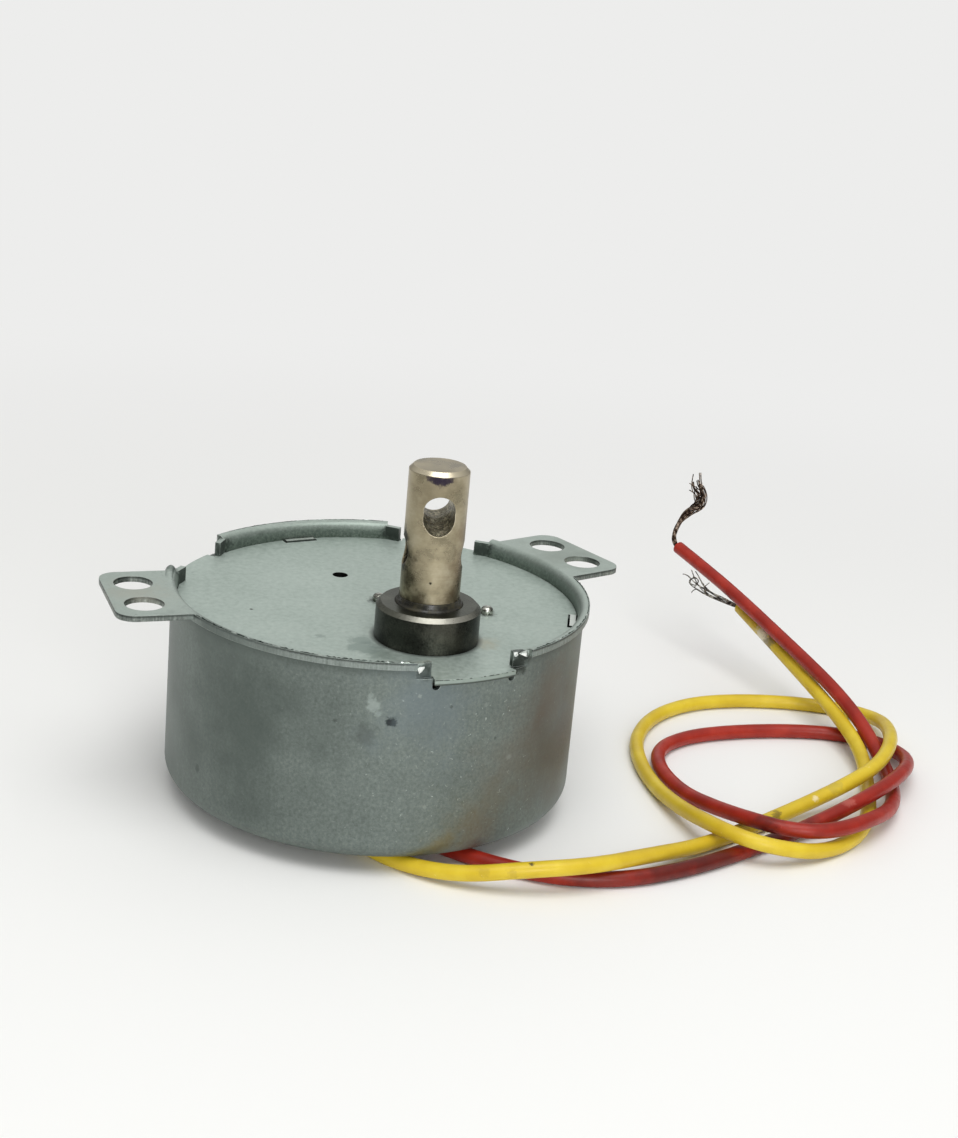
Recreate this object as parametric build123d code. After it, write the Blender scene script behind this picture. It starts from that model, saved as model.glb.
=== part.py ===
from build123d import *
import math
import os

os.makedirs("parts", exist_ok=True)

# A geared synchronous motor in a 50 mm can. Lengths are in millimetres, angles in degrees.
# It is built with the can's axis at the origin and its floor at height 0, and moved to its row frame at the end:
# origin midway between the front ear holes on the ears' top face, +Z along the shaft, +X through those holes.

# Can, drawn from sheet steel
case_r = 25.0
sheet = 0.7
rim_z = 24.6
corner_r = 2.0
lip_bend_r = 1.0
lip_flat = 0.3
lip_t = 0.9

# Ears, turned out of the rim
ear_angle = 8.85
ear_length = 8.0
ear_width = 15.0
ear_corner_r = 2.2
ear_hole_inset = 3.67
ear_hole_pitch = 7.1
ear_hole_r = 2.3

# Notches for the cover's tabs, and the wall beside them, which is staked inwards over the cover
notch_angles = (-90.0, 45.0, 135.0)
notch_half_angle = 12.1
relief_r = 0.45
relief_drop = 0.2
stake_angle = 4.5
stake_drop = 0.3
stake_swing = 20.0

# Cover
cover_drop = 2.1
cover_t = 0.7
cover_gap = 0.05
tab_half_angle = 11.7
tab_proud = 0.35
oil_hole_r = 0.95
oil_hole_xy = (-0.6, 9.8)

# Output: shaft, bush, wheel and washer
shaft_offset_share = 0.5185
shaft_r = 3.5
shaft_out = 18.7
shaft_chamfer = 0.5
seat_r = 3.0
stem_r = 1.4
stem_lift = 0.3
pivot_r = 1.0
upper_hole_r = 1.8
upper_hole_drop = 4.6
lower_hole_r = 1.7
lower_hole_drop = 10.2
cross_angle = -111.8
mouth_slope = 16.0
bush_r = 6.1
bush_out = 4.35
bush_chamfer = 0.5
bush_neck_r = 4.8
bush_stake_r = 5.3
bush_stake_t = 0.5
bush_bore_gap = 0.04
bush_mouth_r = 4.0
bush_mouth_depth = 0.5
washer_r = 5.6
washer_t = 0.4
washer_gap = 0.1

# Gear train: rotor 10 to 40, 10 to 50, 10 to 50, so the shaft turns once for each hundred turns of the rotor
pinion_teeth = 10
first_teeth = 40
second_teeth = 50
output_teeth = 50
fine_module_share = 0.875
wheel_room = 1.34
pressure_angle = 25.0
addendum_share = 0.9
dedendum_share = 1.25
backlash = 0.1
second_arbor_angle = 24.8
wheel_t = 2.0
output_wheel_t = 2.2
level_gap = 0.4
pinion_over = 0.2
collar_r = 1.2
collar_gap = 0.25
arbor_r = 0.75
arbor_gap = 0.04
arbor_out = 0.9
arbor_dome_r = 0.5

# Gear plate, which is the upper pole plate, with three legs up to the cover
plate_z = 12.0
plate_t = 0.8
plate_hole_r = 3.0
leg_angles = (90.0, -33.0, -147.0)
leg_width = 4.0
leg_gap = 0.25
leg_proud = 0.15
slot_gap = 0.25

# Claw poles
claw_in_r = 10.0
claw_count = 6
claw_half_angle = 10.5
claw_end_gap = 1.2
pole_plate_t = 0.8
pole_gap = 1.4
pole_hole_r = 6.2

# Coil
bobbin_gap = 0.4
bobbin_wall = 0.8
coil_room = 3.1
flange_over = 0.7
tape_t = 0.3

# Rotor
air_gap = 0.4
magnet_in_r = 5.5
magnet_inset = 1.0
rotor_washer_r = 2.4
rotor_washer_t = 0.4
rotor_lift = 0.2

# Grommet in the floor, the coil's terminals and the solder on them
grommet_angle = 137.6
grommet_inset = 4.8
grommet_head = (4.4, 8.0)
grommet_neck = (3.2, 6.6)
grommet_corner_r = 1.2
grommet_flange = (5.2, 7.2)
flange_shift = 0.5
grommet_room = 0.3
lead_pitch = 3.2
terminal_inset = 0.6
terminal_r = 0.35
terminal_top = 5.0
solder_r = 0.6

# Leads. Each point of a route is plan x, plan y and the lift over a lead that lies on the table
lead_d = 1.9
table_gap = 0.1
exit_run = 5.5
run_share = 0.45
yellow_route = [
    (-9.0, -1.0, 0), (-9.4, -9.0, 0), (-8.6, -16.5, 0), (-6.0, -22.8, 0), (-1.8, -28.2, 0.7), (4.4, -32.4, 2.3),
    (12.2, -34.4, 2.5), (20.6, -32.9, 1.6), (30.0, -30.4, 0), (39.4, -28.2, 0), (48.0, -26.8, 0.9),
    (55.5, -26.2, 2.5), (62.3, -24.0, 3.2), (68.4, -19.4, 3.4), (73.6, -13.0, 2.3), (77.0, -6.8, 0.7),
    (76.0, -1.4, 0), (69.8, 3.3, 0), (62.2, 6.5, 0), (54.6, 7.6, 0), (46.8, 5.3, 0), (40.4, -0.2, 0),
    (36.6, -6.8, 0), (34.2, -14.0, 0), (32.6, -21.6, 0.9), (31.8, -28.6, 2.2), (33.2, -34.2, 2.4),
    (37.6, -37.0, 1.5), (44.0, -37.0, 0.1), (50.6, -35.0, 0), (56.8, -29.8, 0), (61.8, -23.2, 0),
    (65.6, -17.4, 1.1), (67.8, -11.5, 2.1), (69.1, -3.5, 3.7), (70.0, 3.8, 5.0), (70.5, 10.8, 6.6),
    (71.2, 19.9, 8.5),
]
red_route = [
    (-5.6, 1.6, 0), (-4.6, -6.4, 0), (-2.6, -14.2, 0), (0.8, -21.4, 0), (5.0, -27.4, 0), (10.2, -32.0, 0),
    (16.8, -34.6, 0), (24.6, -34.8, 0), (33.0, -33.6, 0), (41.4, -31.8, 0), (49.2, -31.0, 1.2), (56.8, -29.9, 2.7),
    (63.8, -26.8, 2.8), (69.6, -22.0, 1.6), (73.0, -16.4, 0.2), (72.2, -11.2, 0), (68.2, -7.4, 0), (62.0, -4.6, 0),
    (54.6, -2.7, 0), (47.4, -2.2, 0), (41.2, -4.4, 0), (37.8, -9.8, 0), (36.6, -17.0, 0), (36.4, -24.2, 1.3),
    (37.2, -30.6, 2.5), (40.2, -35.0, 2.6), (45.4, -36.6, 2.5), (52.0, -35.4, 2.4), (59.6, -30.9, 0.7),
    (65.4, -24.0, 0), (68.0, -18.4, 0.7), (69.3, -12.4, 3.2), (69.8, -5.8, 5.2), (69.8, 1.2, 6.9), (69.8, 9.4, 8.6),
    (70.0, 17.8, 10.2), (70.0, 26.4, 11.7), (69.3, 34.6, 13.3),
]
# Bare strands: a short run on along the lead, then steps from there
strand_run = 1.3
red_strand_r = 0.55
red_strand_steps = [(0.0, 0.3, 2.4), (1.2, -0.6, 2.2), (2.0, -1.0, 2.7), (-0.4, 0.2, 3.2)]
yellow_strand_r = 0.3
yellow_strand_steps = [(-1.5, 1.2, 0.1), (-1.4, 1.1, 0.6), (-1.3, 0.9, 1.1), (-0.5, 0.6, 1.4)]

# One length by which every cut runs past what it cuts, and the angle of a square corner
overrun = 1.0
quarter = 90.0

# Heights and radii that follow from those sizes
wall_in = case_r - sheet
bend_out = case_r + lip_bend_r - sheet
lip_r = bend_out + lip_flat
bend_z = rim_z - lip_bend_r
ear_low = rim_z - sheet
lip_low = rim_z - lip_t
under_bend_r = lip_bend_r - sheet
floor_flat_r = case_r - corner_r
ear_reach = case_r + ear_length
ear_hole_radial = ear_reach - ear_hole_inset
cover_top = rim_z - cover_drop
cover_low = cover_top - cover_t
plate_top = plate_z + plate_t
leg_out = wall_in - leg_gap
leg_in = leg_out - sheet
plate_r = leg_in - leg_gap
pole_top = sheet + pole_plate_t
pole_plate_r = wall_in - pole_gap
claw_out_r = claw_in_r + sheet
bobbin_in_r = claw_out_r + bobbin_gap
bobbin_r = wall_in - coil_room
winding_r = bobbin_r - flange_over
shaft_offset = wall_in * shaft_offset_share
final_module = (wall_in - shaft_offset - wheel_room) / (output_teeth / 2 + addendum_share)
fine_module = final_module * fine_module_share
level_a = plate_top + level_gap
level_b = level_a + wheel_t + level_gap
level_c = level_b + wheel_t + level_gap
output_top = level_c + output_wheel_t
train_top = cover_low - collar_gap
shaft_top = rim_z + shaft_out
bush_top = cover_top + bush_out
bush_low = cover_low - bush_stake_t
lead_r = lead_d / 2
lead_z = -table_gap - lead_r
grommet_head_t = lead_d + table_gap
grommet_radial = wall_in - grommet_inset
flange_in = grommet_radial + flange_shift - grommet_flange[0] / 2
flange_out = grommet_radial + flange_shift + grommet_flange[0] / 2
terminal_radial = flange_out - terminal_inset


def polar(radius, angle):
    return radius * math.cos(math.radians(angle)), radius * math.sin(math.radians(angle))


def turned(angle):
    return Rot(0, 0, angle)


def prism(face, low, high):
    return Pos(0, 0, low) * extrude(face, amount=high - low)


def ring(outer_r, inner_r, low, high):
    return prism(Circle(outer_r) - Circle(inner_r), low, high)


def disc(radius, low, high):
    return prism(Circle(radius), low, high)


def sector(inner_r, outer_r, mid_angle, half_angle, low, high):
    far = outer_r / math.cos(math.radians(half_angle))
    wedge = make_face(Polyline((0, 0), polar(far, -half_angle), polar(far, half_angle), close=True))
    return turned(mid_angle) * prism((Circle(outer_r) - Circle(inner_r)) & wedge, low, high)


def block(radial_in, radial_out, width, low, high, angle):
    face = Pos((radial_in + radial_out) / 2, 0) * Rectangle(radial_out - radial_in, width)
    return turned(angle) * prism(face, low, high)


def rounded_block(radial_in, radial_out, width, low, high, angle):
    face = RectangleRounded(radial_out - radial_in, width, grommet_corner_r)
    return turned(angle) * prism(Pos((radial_in + radial_out) / 2, 0) * face, low, high)


def lathe(points):
    return revolve(Plane.XZ * make_face(Polyline(*points, close=True)), axis=Axis.Z)


# Gears: involute flanks in two chords each, so a wheel stays light
alpha = math.radians(pressure_angle)


def involute(angle):
    return math.tan(angle) - angle


def tip_radius(teeth, module):
    return teeth * module / 2 + addendum_share * module


def gear_face(teeth, module, phase):
    pitch_r = teeth * module / 2
    base_r = pitch_r * math.cos(alpha)
    tip_r = tip_radius(teeth, module)
    root_r = pitch_r - dedendum_share * module
    start_r = max(base_r, root_r)
    half = math.pi / (2 * teeth) - backlash / (4 * pitch_r) + involute(alpha)
    side = [(r, half - involute(math.acos(base_r / r))) for r in (start_r, (start_r + tip_r) / 2, tip_r)]
    if root_r < start_r:
        side.insert(0, (root_r, side[0][1]))
    points = []
    for tooth in range(teeth):
        middle = math.radians(phase) + 2 * math.pi * tooth / teeth
        outline = [(r, middle - a) for r, a in side] + [(r, middle + a) for r, a in reversed(side)]
        points += [(r * math.cos(a), r * math.sin(a)) for r, a in outline]
    return make_face(Polyline(*points, close=True))


def direction(start, end):
    return math.degrees(math.atan2(end[1] - start[1], end[0] - start[0]))


def wheel_phase(wheel_xy, pinion_xy, teeth):
    return direction(wheel_xy, pinion_xy) + 180.0 / teeth


rotor_xy = (0.0, 0.0)
output_xy = (0.0, -shaft_offset)
final_distance = (pinion_teeth + output_teeth) * final_module / 2
first_distance = (pinion_teeth + first_teeth) * fine_module / 2
second_distance = (pinion_teeth + second_teeth) * fine_module / 2
reach_x, reach_y = polar(final_distance, second_arbor_angle)
second_xy = (output_xy[0] + reach_x, output_xy[1] + reach_y)
span = math.hypot(*second_xy)
along = (first_distance**2 - second_distance**2 + span**2) / (2 * span)
aside = math.sqrt(first_distance**2 - along**2)
ux, uy = second_xy[0] / span, second_xy[1] / span
first_xy = (along * ux - aside * uy, along * uy + aside * ux)
print("arbors", [round(v, 3) for v in first_xy + second_xy])

# Can: a turned profile with the lip, then ears, notches, stakes and floor holes
quarter_r = corner_r - sheet
profile = [
    Line((0, 0), (floor_flat_r, 0)),
    CenterArc((floor_flat_r, corner_r), corner_r, -quarter, quarter),
    Line((case_r, corner_r), (case_r, lip_low - under_bend_r)),
    CenterArc((bend_out, lip_low - under_bend_r), under_bend_r, 2 * quarter, -quarter),
    Line((bend_out, lip_low), (lip_r, lip_low)),
    Line((lip_r, lip_low), (lip_r, rim_z)),
    Line((lip_r, rim_z), (bend_out, rim_z)),
    CenterArc((bend_out, bend_z), lip_bend_r, quarter, quarter),
    Line((wall_in, bend_z), (wall_in, corner_r)),
    CenterArc((floor_flat_r, corner_r), quarter_r, 0, -quarter),
    Line((floor_flat_r, sheet), (0, sheet)),
    Line((0, sheet), (0, 0)),
]
case = revolve(Plane.XZ * make_face(profile), axis=Axis.Z)

ear_face = Pos(ear_reach / 2, 0) * RectangleRounded(ear_reach, ear_width, ear_corner_r) - Circle(bend_out)
for side in (-1, 1):
    ear_face -= Pos(ear_hole_radial, side * ear_hole_pitch / 2) * Circle(ear_hole_r)
for angle in (ear_angle, 2 * quarter - ear_angle):
    case += turned(angle) * prism(ear_face, ear_low, rim_z)

inside = wall_in - overrun
outside = lip_r + overrun
# A stake is a length of the wall, cut free of the lip and swung inwards on its far end
stake_length = case_r * math.radians(stake_angle)
relief_angle = notch_half_angle - math.degrees(relief_r / case_r)
for angle in notch_angles:
    for side in (-1, 1):
        middle = angle + side * (notch_half_angle + stake_angle / 2)
        hinge = angle + side * (notch_half_angle + stake_angle)
        case -= sector(inside, outside, middle, stake_angle / 2, cover_top, rim_z + overrun)
        leaf = Pos(-sheet / 2, -side * stake_length / 2) * Rectangle(sheet, stake_length)
        swung = Pos(case_r, 0) * Rot(0, 0, -side * stake_swing) * leaf
        case += turned(hinge) * prism(swung, cover_top, rim_z - stake_drop)
    case -= sector(inside, outside, angle, notch_half_angle, cover_low, rim_z + overrun)
    for side in (-1, 1):
        bore = Pos(case_r, 0, cover_low - relief_drop) * Rot(0, quarter, 0) * Cylinder(relief_r, 2 * overrun)
        case -= turned(angle + side * relief_angle) * bore

neck_in = grommet_radial - grommet_neck[0] / 2
neck_out = grommet_radial + grommet_neck[0] / 2
case -= disc(arbor_r, -overrun, sheet + overrun)
case -= rounded_block(neck_in, neck_out, grommet_neck[1], -overrun, sheet + overrun, grommet_angle)

# Cover, with its tabs, the bush's hole, the arbors' holes, an oil hole and edge slots for the plate's legs
cover = disc(wall_in - cover_gap, cover_low, cover_top)
for angle in notch_angles:
    cover += sector(inside, case_r + tab_proud, angle, tab_half_angle, cover_low, cover_top)
for x, y in (rotor_xy, first_xy, second_xy):
    cover -= Pos(x, y, 0) * disc(arbor_r, cover_low - overrun, cover_top + overrun)
cover -= Pos(*output_xy, 0) * disc(bush_neck_r, cover_low - overrun, cover_top + overrun)
cover -= Pos(*oil_hole_xy, 0) * disc(oil_hole_r, cover_low - overrun, cover_top + overrun)
slot_width = leg_width + 2 * slot_gap
for angle in leg_angles:
    cover -= block(leg_in - slot_gap, case_r, slot_width, cover_low - overrun, cover_top + overrun, angle)

# Output bush, shaft, wheel and washer
bore_r = shaft_r + bush_bore_gap
bush = lathe([
    (bore_r, bush_low), (bush_stake_r, bush_low), (bush_stake_r, cover_low), (bush_neck_r, cover_low),
    (bush_neck_r, cover_top), (bush_r, cover_top), (bush_r, bush_top - bush_chamfer),
    (bush_r - bush_chamfer, bush_top), (bush_mouth_r, bush_top), (bore_r, bush_top - bush_mouth_depth),
])
shaft = lathe([
    (0, plate_z), (pivot_r, plate_z), (pivot_r, plate_top + stem_lift), (stem_r, plate_top + stem_lift),
    (stem_r, level_c), (seat_r, level_c), (seat_r, output_top), (shaft_r, output_top),
    (shaft_r, shaft_top - shaft_chamfer), (shaft_r - shaft_chamfer, shaft_top), (0, shaft_top),
])
across = 2 * shaft_r + 2 * overrun
upper_z = shaft_top - upper_hole_drop
lower_z = shaft_top - lower_hole_drop
shaft -= turned(cross_angle) * Pos(0, 0, upper_z) * Rot(0, quarter, 0) * Cylinder(upper_hole_r, across)
shaft -= turned(cross_angle + quarter) * Pos(0, 0, lower_z) * Rot(0, quarter, 0) * Cylinder(lower_hole_r, across)
# The upper hole's near mouth is drawn out downwards
mouth = Cylinder(upper_hole_r, across / 2, align=(Align.CENTER, Align.CENTER, Align.MIN))
shaft -= turned(cross_angle) * Pos(0, 0, upper_z) * Rot(0, quarter + mouth_slope, 0) * mouth

output_face = gear_face(output_teeth, final_module, wheel_phase(output_xy, second_xy, output_teeth))
output_gear = prism(output_face - Circle(seat_r), level_c, output_top)
thrust_washer = ring(washer_r, shaft_r + washer_gap, output_top, output_top + washer_t)

# Compound gears: spacer, wheel, pinion and collar in one moulding
hole_r = arbor_r + arbor_gap
first_top = level_b + wheel_t + pinion_over
second_top = output_top + pinion_over
first_wheel = gear_face(first_teeth, fine_module, wheel_phase(first_xy, rotor_xy, first_teeth))
first_pinion = gear_face(pinion_teeth, fine_module, direction(first_xy, second_xy))
second_wheel = gear_face(second_teeth, fine_module, wheel_phase(second_xy, first_xy, second_teeth))
second_pinion = gear_face(pinion_teeth, final_module, direction(second_xy, output_xy))
spacer_low = plate_top + collar_gap
gear_1 = prism(first_wheel, level_a, level_a + wheel_t) + prism(first_pinion, level_a + wheel_t, first_top)
gear_1 += disc(collar_r, spacer_low, train_top)
gear_1 -= disc(hole_r, 0, shaft_top)
gear_2 = prism(second_wheel, level_b, level_b + wheel_t) + prism(second_pinion, level_b + wheel_t, second_top)
gear_2 += disc(collar_r, spacer_low, train_top)
gear_2 -= disc(hole_r, 0, shaft_top)


def pin(low):
    body = disc(arbor_r, low, cover_top + arbor_out)
    return fillet(body.edges().sort_by(Axis.Z)[-1], arbor_dome_r)


arbor_1 = pin(plate_z)
arbor_2 = pin(plate_z)
rotor_spindle = pin(0)

# Gear plate, which is the upper pole plate
plate = ring(plate_r, plate_hole_r, plate_z, plate_top)
for angle in leg_angles:
    plate += block(plate_r - sheet, leg_out, leg_width, plate_z, plate_top, angle)
    plate += block(leg_in, leg_out, leg_width, plate_z, cover_top + leg_proud, angle)
claw_low = pole_top + claw_end_gap
claw_high = plate_z - claw_end_gap
claw_step = 4 * quarter / claw_count
for claw in range(claw_count):
    plate += sector(claw_in_r, claw_out_r, claw * claw_step + claw_step / 2, claw_half_angle, claw_low, plate_top)
for x, y in (first_xy, second_xy):
    plate -= Pos(x, y, 0) * disc(arbor_r, plate_z - overrun, plate_top + overrun)
plate -= Pos(*output_xy, 0) * disc(pivot_r + arbor_gap, plate_z - overrun, plate_top + overrun)

pole = ring(pole_plate_r, pole_hole_r, sheet, pole_top)
for claw in range(claw_count):
    pole += sector(claw_in_r, claw_out_r, claw * claw_step, claw_half_angle, sheet, claw_high)
room_in = flange_in - grommet_room
room_width = grommet_flange[1] + 2 * grommet_room
pole -= block(room_in, case_r, room_width, sheet - overrun, pole_top + overrun, grommet_angle)

# Coil
tube_r = bobbin_in_r + bobbin_wall
bobbin = ring(tube_r, bobbin_in_r, pole_top, plate_z)
bobbin += ring(bobbin_r, bobbin_in_r, pole_top, pole_top + bobbin_wall)
bobbin += ring(bobbin_r, bobbin_in_r, plate_z - bobbin_wall, plate_z)
winding = ring(winding_r, tube_r, pole_top + bobbin_wall, plate_z - bobbin_wall)
tape = ring(winding_r + tape_t, winding_r, pole_top + bobbin_wall, plate_z - bobbin_wall)

# Rotor
magnet_r = claw_in_r - air_gap
hub_low = sheet + rotor_washer_t + rotor_lift
hub_top = plate_z - magnet_inset
magnet = ring(magnet_r, magnet_in_r, hub_low + magnet_inset, hub_top)
rotor_pinion = gear_face(pinion_teeth, fine_module, direction(rotor_xy, first_xy))
hub = disc(magnet_in_r, hub_low, hub_top)
hub += prism(rotor_pinion, hub_top, level_a + wheel_t + pinion_over)
hub += disc(collar_r, hub_top, train_top)
hub -= disc(hole_r, 0, shaft_top)
rotor_washer = ring(rotor_washer_r, hole_r, sheet, sheet + rotor_washer_t)

# Grommet, terminals and solder
head_in = grommet_radial - grommet_head[0] / 2
head_out = grommet_radial + grommet_head[0] / 2
grommet = rounded_block(head_in, head_out, grommet_head[1], -grommet_head_t, 0, grommet_angle)
grommet += rounded_block(neck_in, neck_out, grommet_neck[1], 0, sheet, grommet_angle)
grommet += rounded_block(flange_in, flange_out, grommet_flange[1], sheet, pole_top, grommet_angle)
terminals = []
solder = []
for side in (-1, 1):
    place = turned(grommet_angle) * Pos(terminal_radial, side * lead_pitch / 2, 0)
    terminals.append(place * disc(terminal_r, pole_top, terminal_top))
    solder.append(place * (Pos(0, 0, terminal_top) * Sphere(solder_r) - disc(terminal_r, pole_top, terminal_top)))


# Leads: straight runs joined by tangent arcs, each as large as its runs allow
def tube(points, radius, name):
    vectors = [Vector(*p) for p in points]
    radii = []
    for before, here, after in zip(vectors, vectors[1:], vectors[2:]):
        shorter = min((here - before).length, (after - here).length)
        turn = math.radians((here - before).get_angle(after - here))
        radii.append(run_share * shorter / math.tan(turn / 2))
    path = FilletPolyline(*points, radius=radii)
    body = sweep(Plane(origin=path @ 0, z_dir=path % 0) * Circle(radius), path=path)
    ratio = body.volume / (math.pi * radius**2 * path.length)
    print(name, "length", round(path.length, 1), "least radius", round(min(radii), 2), "volume ratio", round(ratio, 4))
    return body


def lead_points(side, route):
    start_x, start_y = head_in, side * lead_pitch / 2
    out_x, out_y = polar(1, grommet_angle)
    first = (start_x * out_x - start_y * out_y, start_x * out_y + start_y * out_x, lead_z)
    second = (first[0] - exit_run * out_x, first[1] - exit_run * out_y, lead_z)
    return [first, second] + [(x, y, lead_z + lift) for x, y, lift in route]


def strand_points(lead, steps):
    before, end = Vector(*lead[-2]), Vector(*lead[-1])
    onward = end + (end - before).normalized() * strand_run
    points = [lead[-1], tuple(onward)]
    for step in steps:
        points.append(tuple(a + b for a, b in zip(points[-1], step)))
    return points


yellow_points = lead_points(1, yellow_route)
red_points = lead_points(-1, red_route)
lead_yellow = tube(yellow_points, lead_r, "lead_yellow")
lead_red = tube(red_points, lead_r, "lead_red")
strands_yellow = tube(strand_points(yellow_points, yellow_strand_steps), yellow_strand_r, "strands_yellow")
strands_red = tube(strand_points(red_points, red_strand_steps), red_strand_r, "strands_red")

at_first = Pos(*first_xy, 0)
at_second = Pos(*second_xy, 0)
at_output = Pos(*output_xy, 0)
nodes = {
    "case": [case],
    "cover_plate": [cover],
    "output_bush": [at_output * bush],
    "output_shaft": [at_output * shaft],
    "output_gear": [at_output * output_gear],
    "thrust_washer": [at_output * thrust_washer],
    "gear_1": [at_first * gear_1],
    "gear_2": [at_second * gear_2],
    "arbor_1": [at_first * arbor_1],
    "arbor_2": [at_second * arbor_2],
    "rotor_spindle": [rotor_spindle],
    "gear_plate": [plate],
    "lower_pole_plate": [pole],
    "coil_bobbin": [bobbin],
    "coil_winding": [winding],
    "coil_tape": [tape],
    "rotor_magnet": [magnet],
    "rotor_hub": [hub],
    "rotor_washer": [rotor_washer],
    "lead_grommet": [grommet],
    "lead_terminals": terminals,
    "solder_joints": solder,
    "lead_yellow": [lead_yellow],
    "lead_red": [lead_red],
    "strands_yellow": [strands_yellow],
    "strands_red": [strands_red],
}

# Row frame
front_y = ear_hole_radial * math.sin(math.radians(ear_angle))
front_y -= ear_hole_pitch / 2 * math.cos(math.radians(ear_angle))
to_row = Pos(0, -front_y, -rim_z)
for name, shapes in nodes.items():
    solids = [solid for shape in shapes for solid in (to_row * shape).solids()]
    export_step(solids[0] if len(solids) == 1 else Compound(children=solids), f"parts/{name}.step")
    print(name, len(solids), "solids", round(sum(s.volume for s in solids), 2), all(s.is_valid for s in solids))
print("row shift", round(-front_y, 3), -rim_z)
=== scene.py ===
import math
import random

import bmesh
import bpy
from mathutils import Matrix, Vector


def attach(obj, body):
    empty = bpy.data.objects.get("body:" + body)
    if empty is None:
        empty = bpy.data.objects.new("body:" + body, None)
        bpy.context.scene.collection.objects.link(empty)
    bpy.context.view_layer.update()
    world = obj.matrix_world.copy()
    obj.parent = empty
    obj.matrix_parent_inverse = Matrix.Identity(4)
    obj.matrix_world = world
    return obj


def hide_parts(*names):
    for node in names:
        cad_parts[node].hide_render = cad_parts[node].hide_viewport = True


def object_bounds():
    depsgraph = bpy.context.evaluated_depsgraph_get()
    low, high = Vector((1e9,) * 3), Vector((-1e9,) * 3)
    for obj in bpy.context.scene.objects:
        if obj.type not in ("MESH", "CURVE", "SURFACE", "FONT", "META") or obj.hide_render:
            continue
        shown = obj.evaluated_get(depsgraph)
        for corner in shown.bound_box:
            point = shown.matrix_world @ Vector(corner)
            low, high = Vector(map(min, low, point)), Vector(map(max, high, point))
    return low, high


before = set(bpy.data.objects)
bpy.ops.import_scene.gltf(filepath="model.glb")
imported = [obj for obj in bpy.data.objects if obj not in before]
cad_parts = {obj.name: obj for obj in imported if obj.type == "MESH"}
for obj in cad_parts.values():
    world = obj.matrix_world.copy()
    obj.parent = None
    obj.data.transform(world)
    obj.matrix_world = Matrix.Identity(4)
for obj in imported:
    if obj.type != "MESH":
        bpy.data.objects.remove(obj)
cadLow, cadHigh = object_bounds()
mm = 0.001
rowShift = Vector((0.0, -1.0046, -24.6))
print("frame", len(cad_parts), "nodes")


# Points of this script are in millimetres from the can's axis at its floor, as in the part's source
def place(x, y, z):
    return (Vector((x, y, z)) + rowShift) * mm


def colour(text):
    parts = [int(text[i:i + 2], 16) / 255 for i in (0, 2, 4)]
    linear = [p / 12.92 if p <= 0.04045 else ((p + 0.055) / 1.055) ** 2.4 for p in parts]
    return (*linear, 1.0)


def around(radius, degrees, height, centre=(0.0, 0.0)):
    angle = math.radians(degrees)
    return (centre[0] + radius * math.cos(angle), centre[1] + radius * math.sin(angle), height)


# Three tones at the places on a ramp that most finishes use
def threeTones(low, middle, high):
    return ((0.36, low), (0.5, middle), (0.64, high))


# Adds a node with its settings, links and ramp stops, and gives back one of its outputs
def addNode(tree, kind, inputs=None, out=0, stops=(), **settings):
    node = tree.nodes.new("ShaderNode" + kind)
    for name, value in settings.items():
        setattr(node, name, value)
    for name, value in (inputs or {}).items():
        if isinstance(value, bpy.types.NodeSocket):
            tree.links.new(value, node.inputs[name])
        else:
            node.inputs[name].default_value = value
    if stops:
        elements = node.color_ramp.elements
        while len(elements) < len(stops):
            elements.new(0.5)
        for element, (position, text) in zip(elements, stops):
            element.position = position
            element.color = colour(text)
    return node.outputs[out]


# A new material, and its coordinates in the millimetres that place() takes
def startMaterial(name, metallic, roughness):
    material = bpy.data.materials.new(name)
    material.use_nodes = True
    tree = material.node_tree
    shader = tree.nodes["Principled BSDF"]
    shader.inputs["Metallic"].default_value = metallic
    shader.inputs["Roughness"].default_value = roughness
    coords = addNode(tree, "TexCoord", out=3)
    scale = (1 / mm, 1 / mm, 1 / mm)
    at = addNode(tree, "Mapping", {"Vector": coords, "Location": tuple(-rowShift), "Scale": scale})
    return material, tree, shader, at


# Gives a shader its colour, a roughness that follows a value between two limits, and a relief
def wire(tree, shader, base, gloss=None, relief=None):
    tree.links.new(base, shader.inputs["Base Color"])
    if gloss:
        value, start, full, low, high = gloss
        rough = addNode(tree, "MapRange", {0: value, 1: start, 2: full, 3: low, 4: high})
        tree.links.new(rough, shader.inputs["Roughness"])
    if relief:
        tree.links.new(relief, shader.inputs["Normal"])


# Lays a tone over a colour where all its masks hold. A mask is a share, or a value with the limits between
# which it rises to a strength
def layOver(tree, base, tone, *masks):
    shares = []
    for mask in masks:
        if isinstance(mask, tuple):
            value, start, full, strength = mask
            mask = addNode(tree, "MapRange", {0: value, 1: start, 2: full, 3: 0.0, 4: strength})
        shares.append(mask)
    share = shares[0]
    for other in shares[1:]:
        share = addNode(tree, "Math", {0: share, 1: other}, operation="MULTIPLY")
    top = colour(tone) if isinstance(tone, str) else tone
    return addNode(tree, "Mix", {0: share, 6: base, 7: top}, out=2, data_type="RGBA")


# A stain's edge in shares of its size: the waves along it, how far it reaches and how far it is full
stainFacts = {
    "waveShare": 1.5,
    "reachShare": 2.6,
    "smallCoreShare": 1.8,
    "largeCoreShare": 1.2,
    "largeFrom": 2.0,
}


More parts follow.
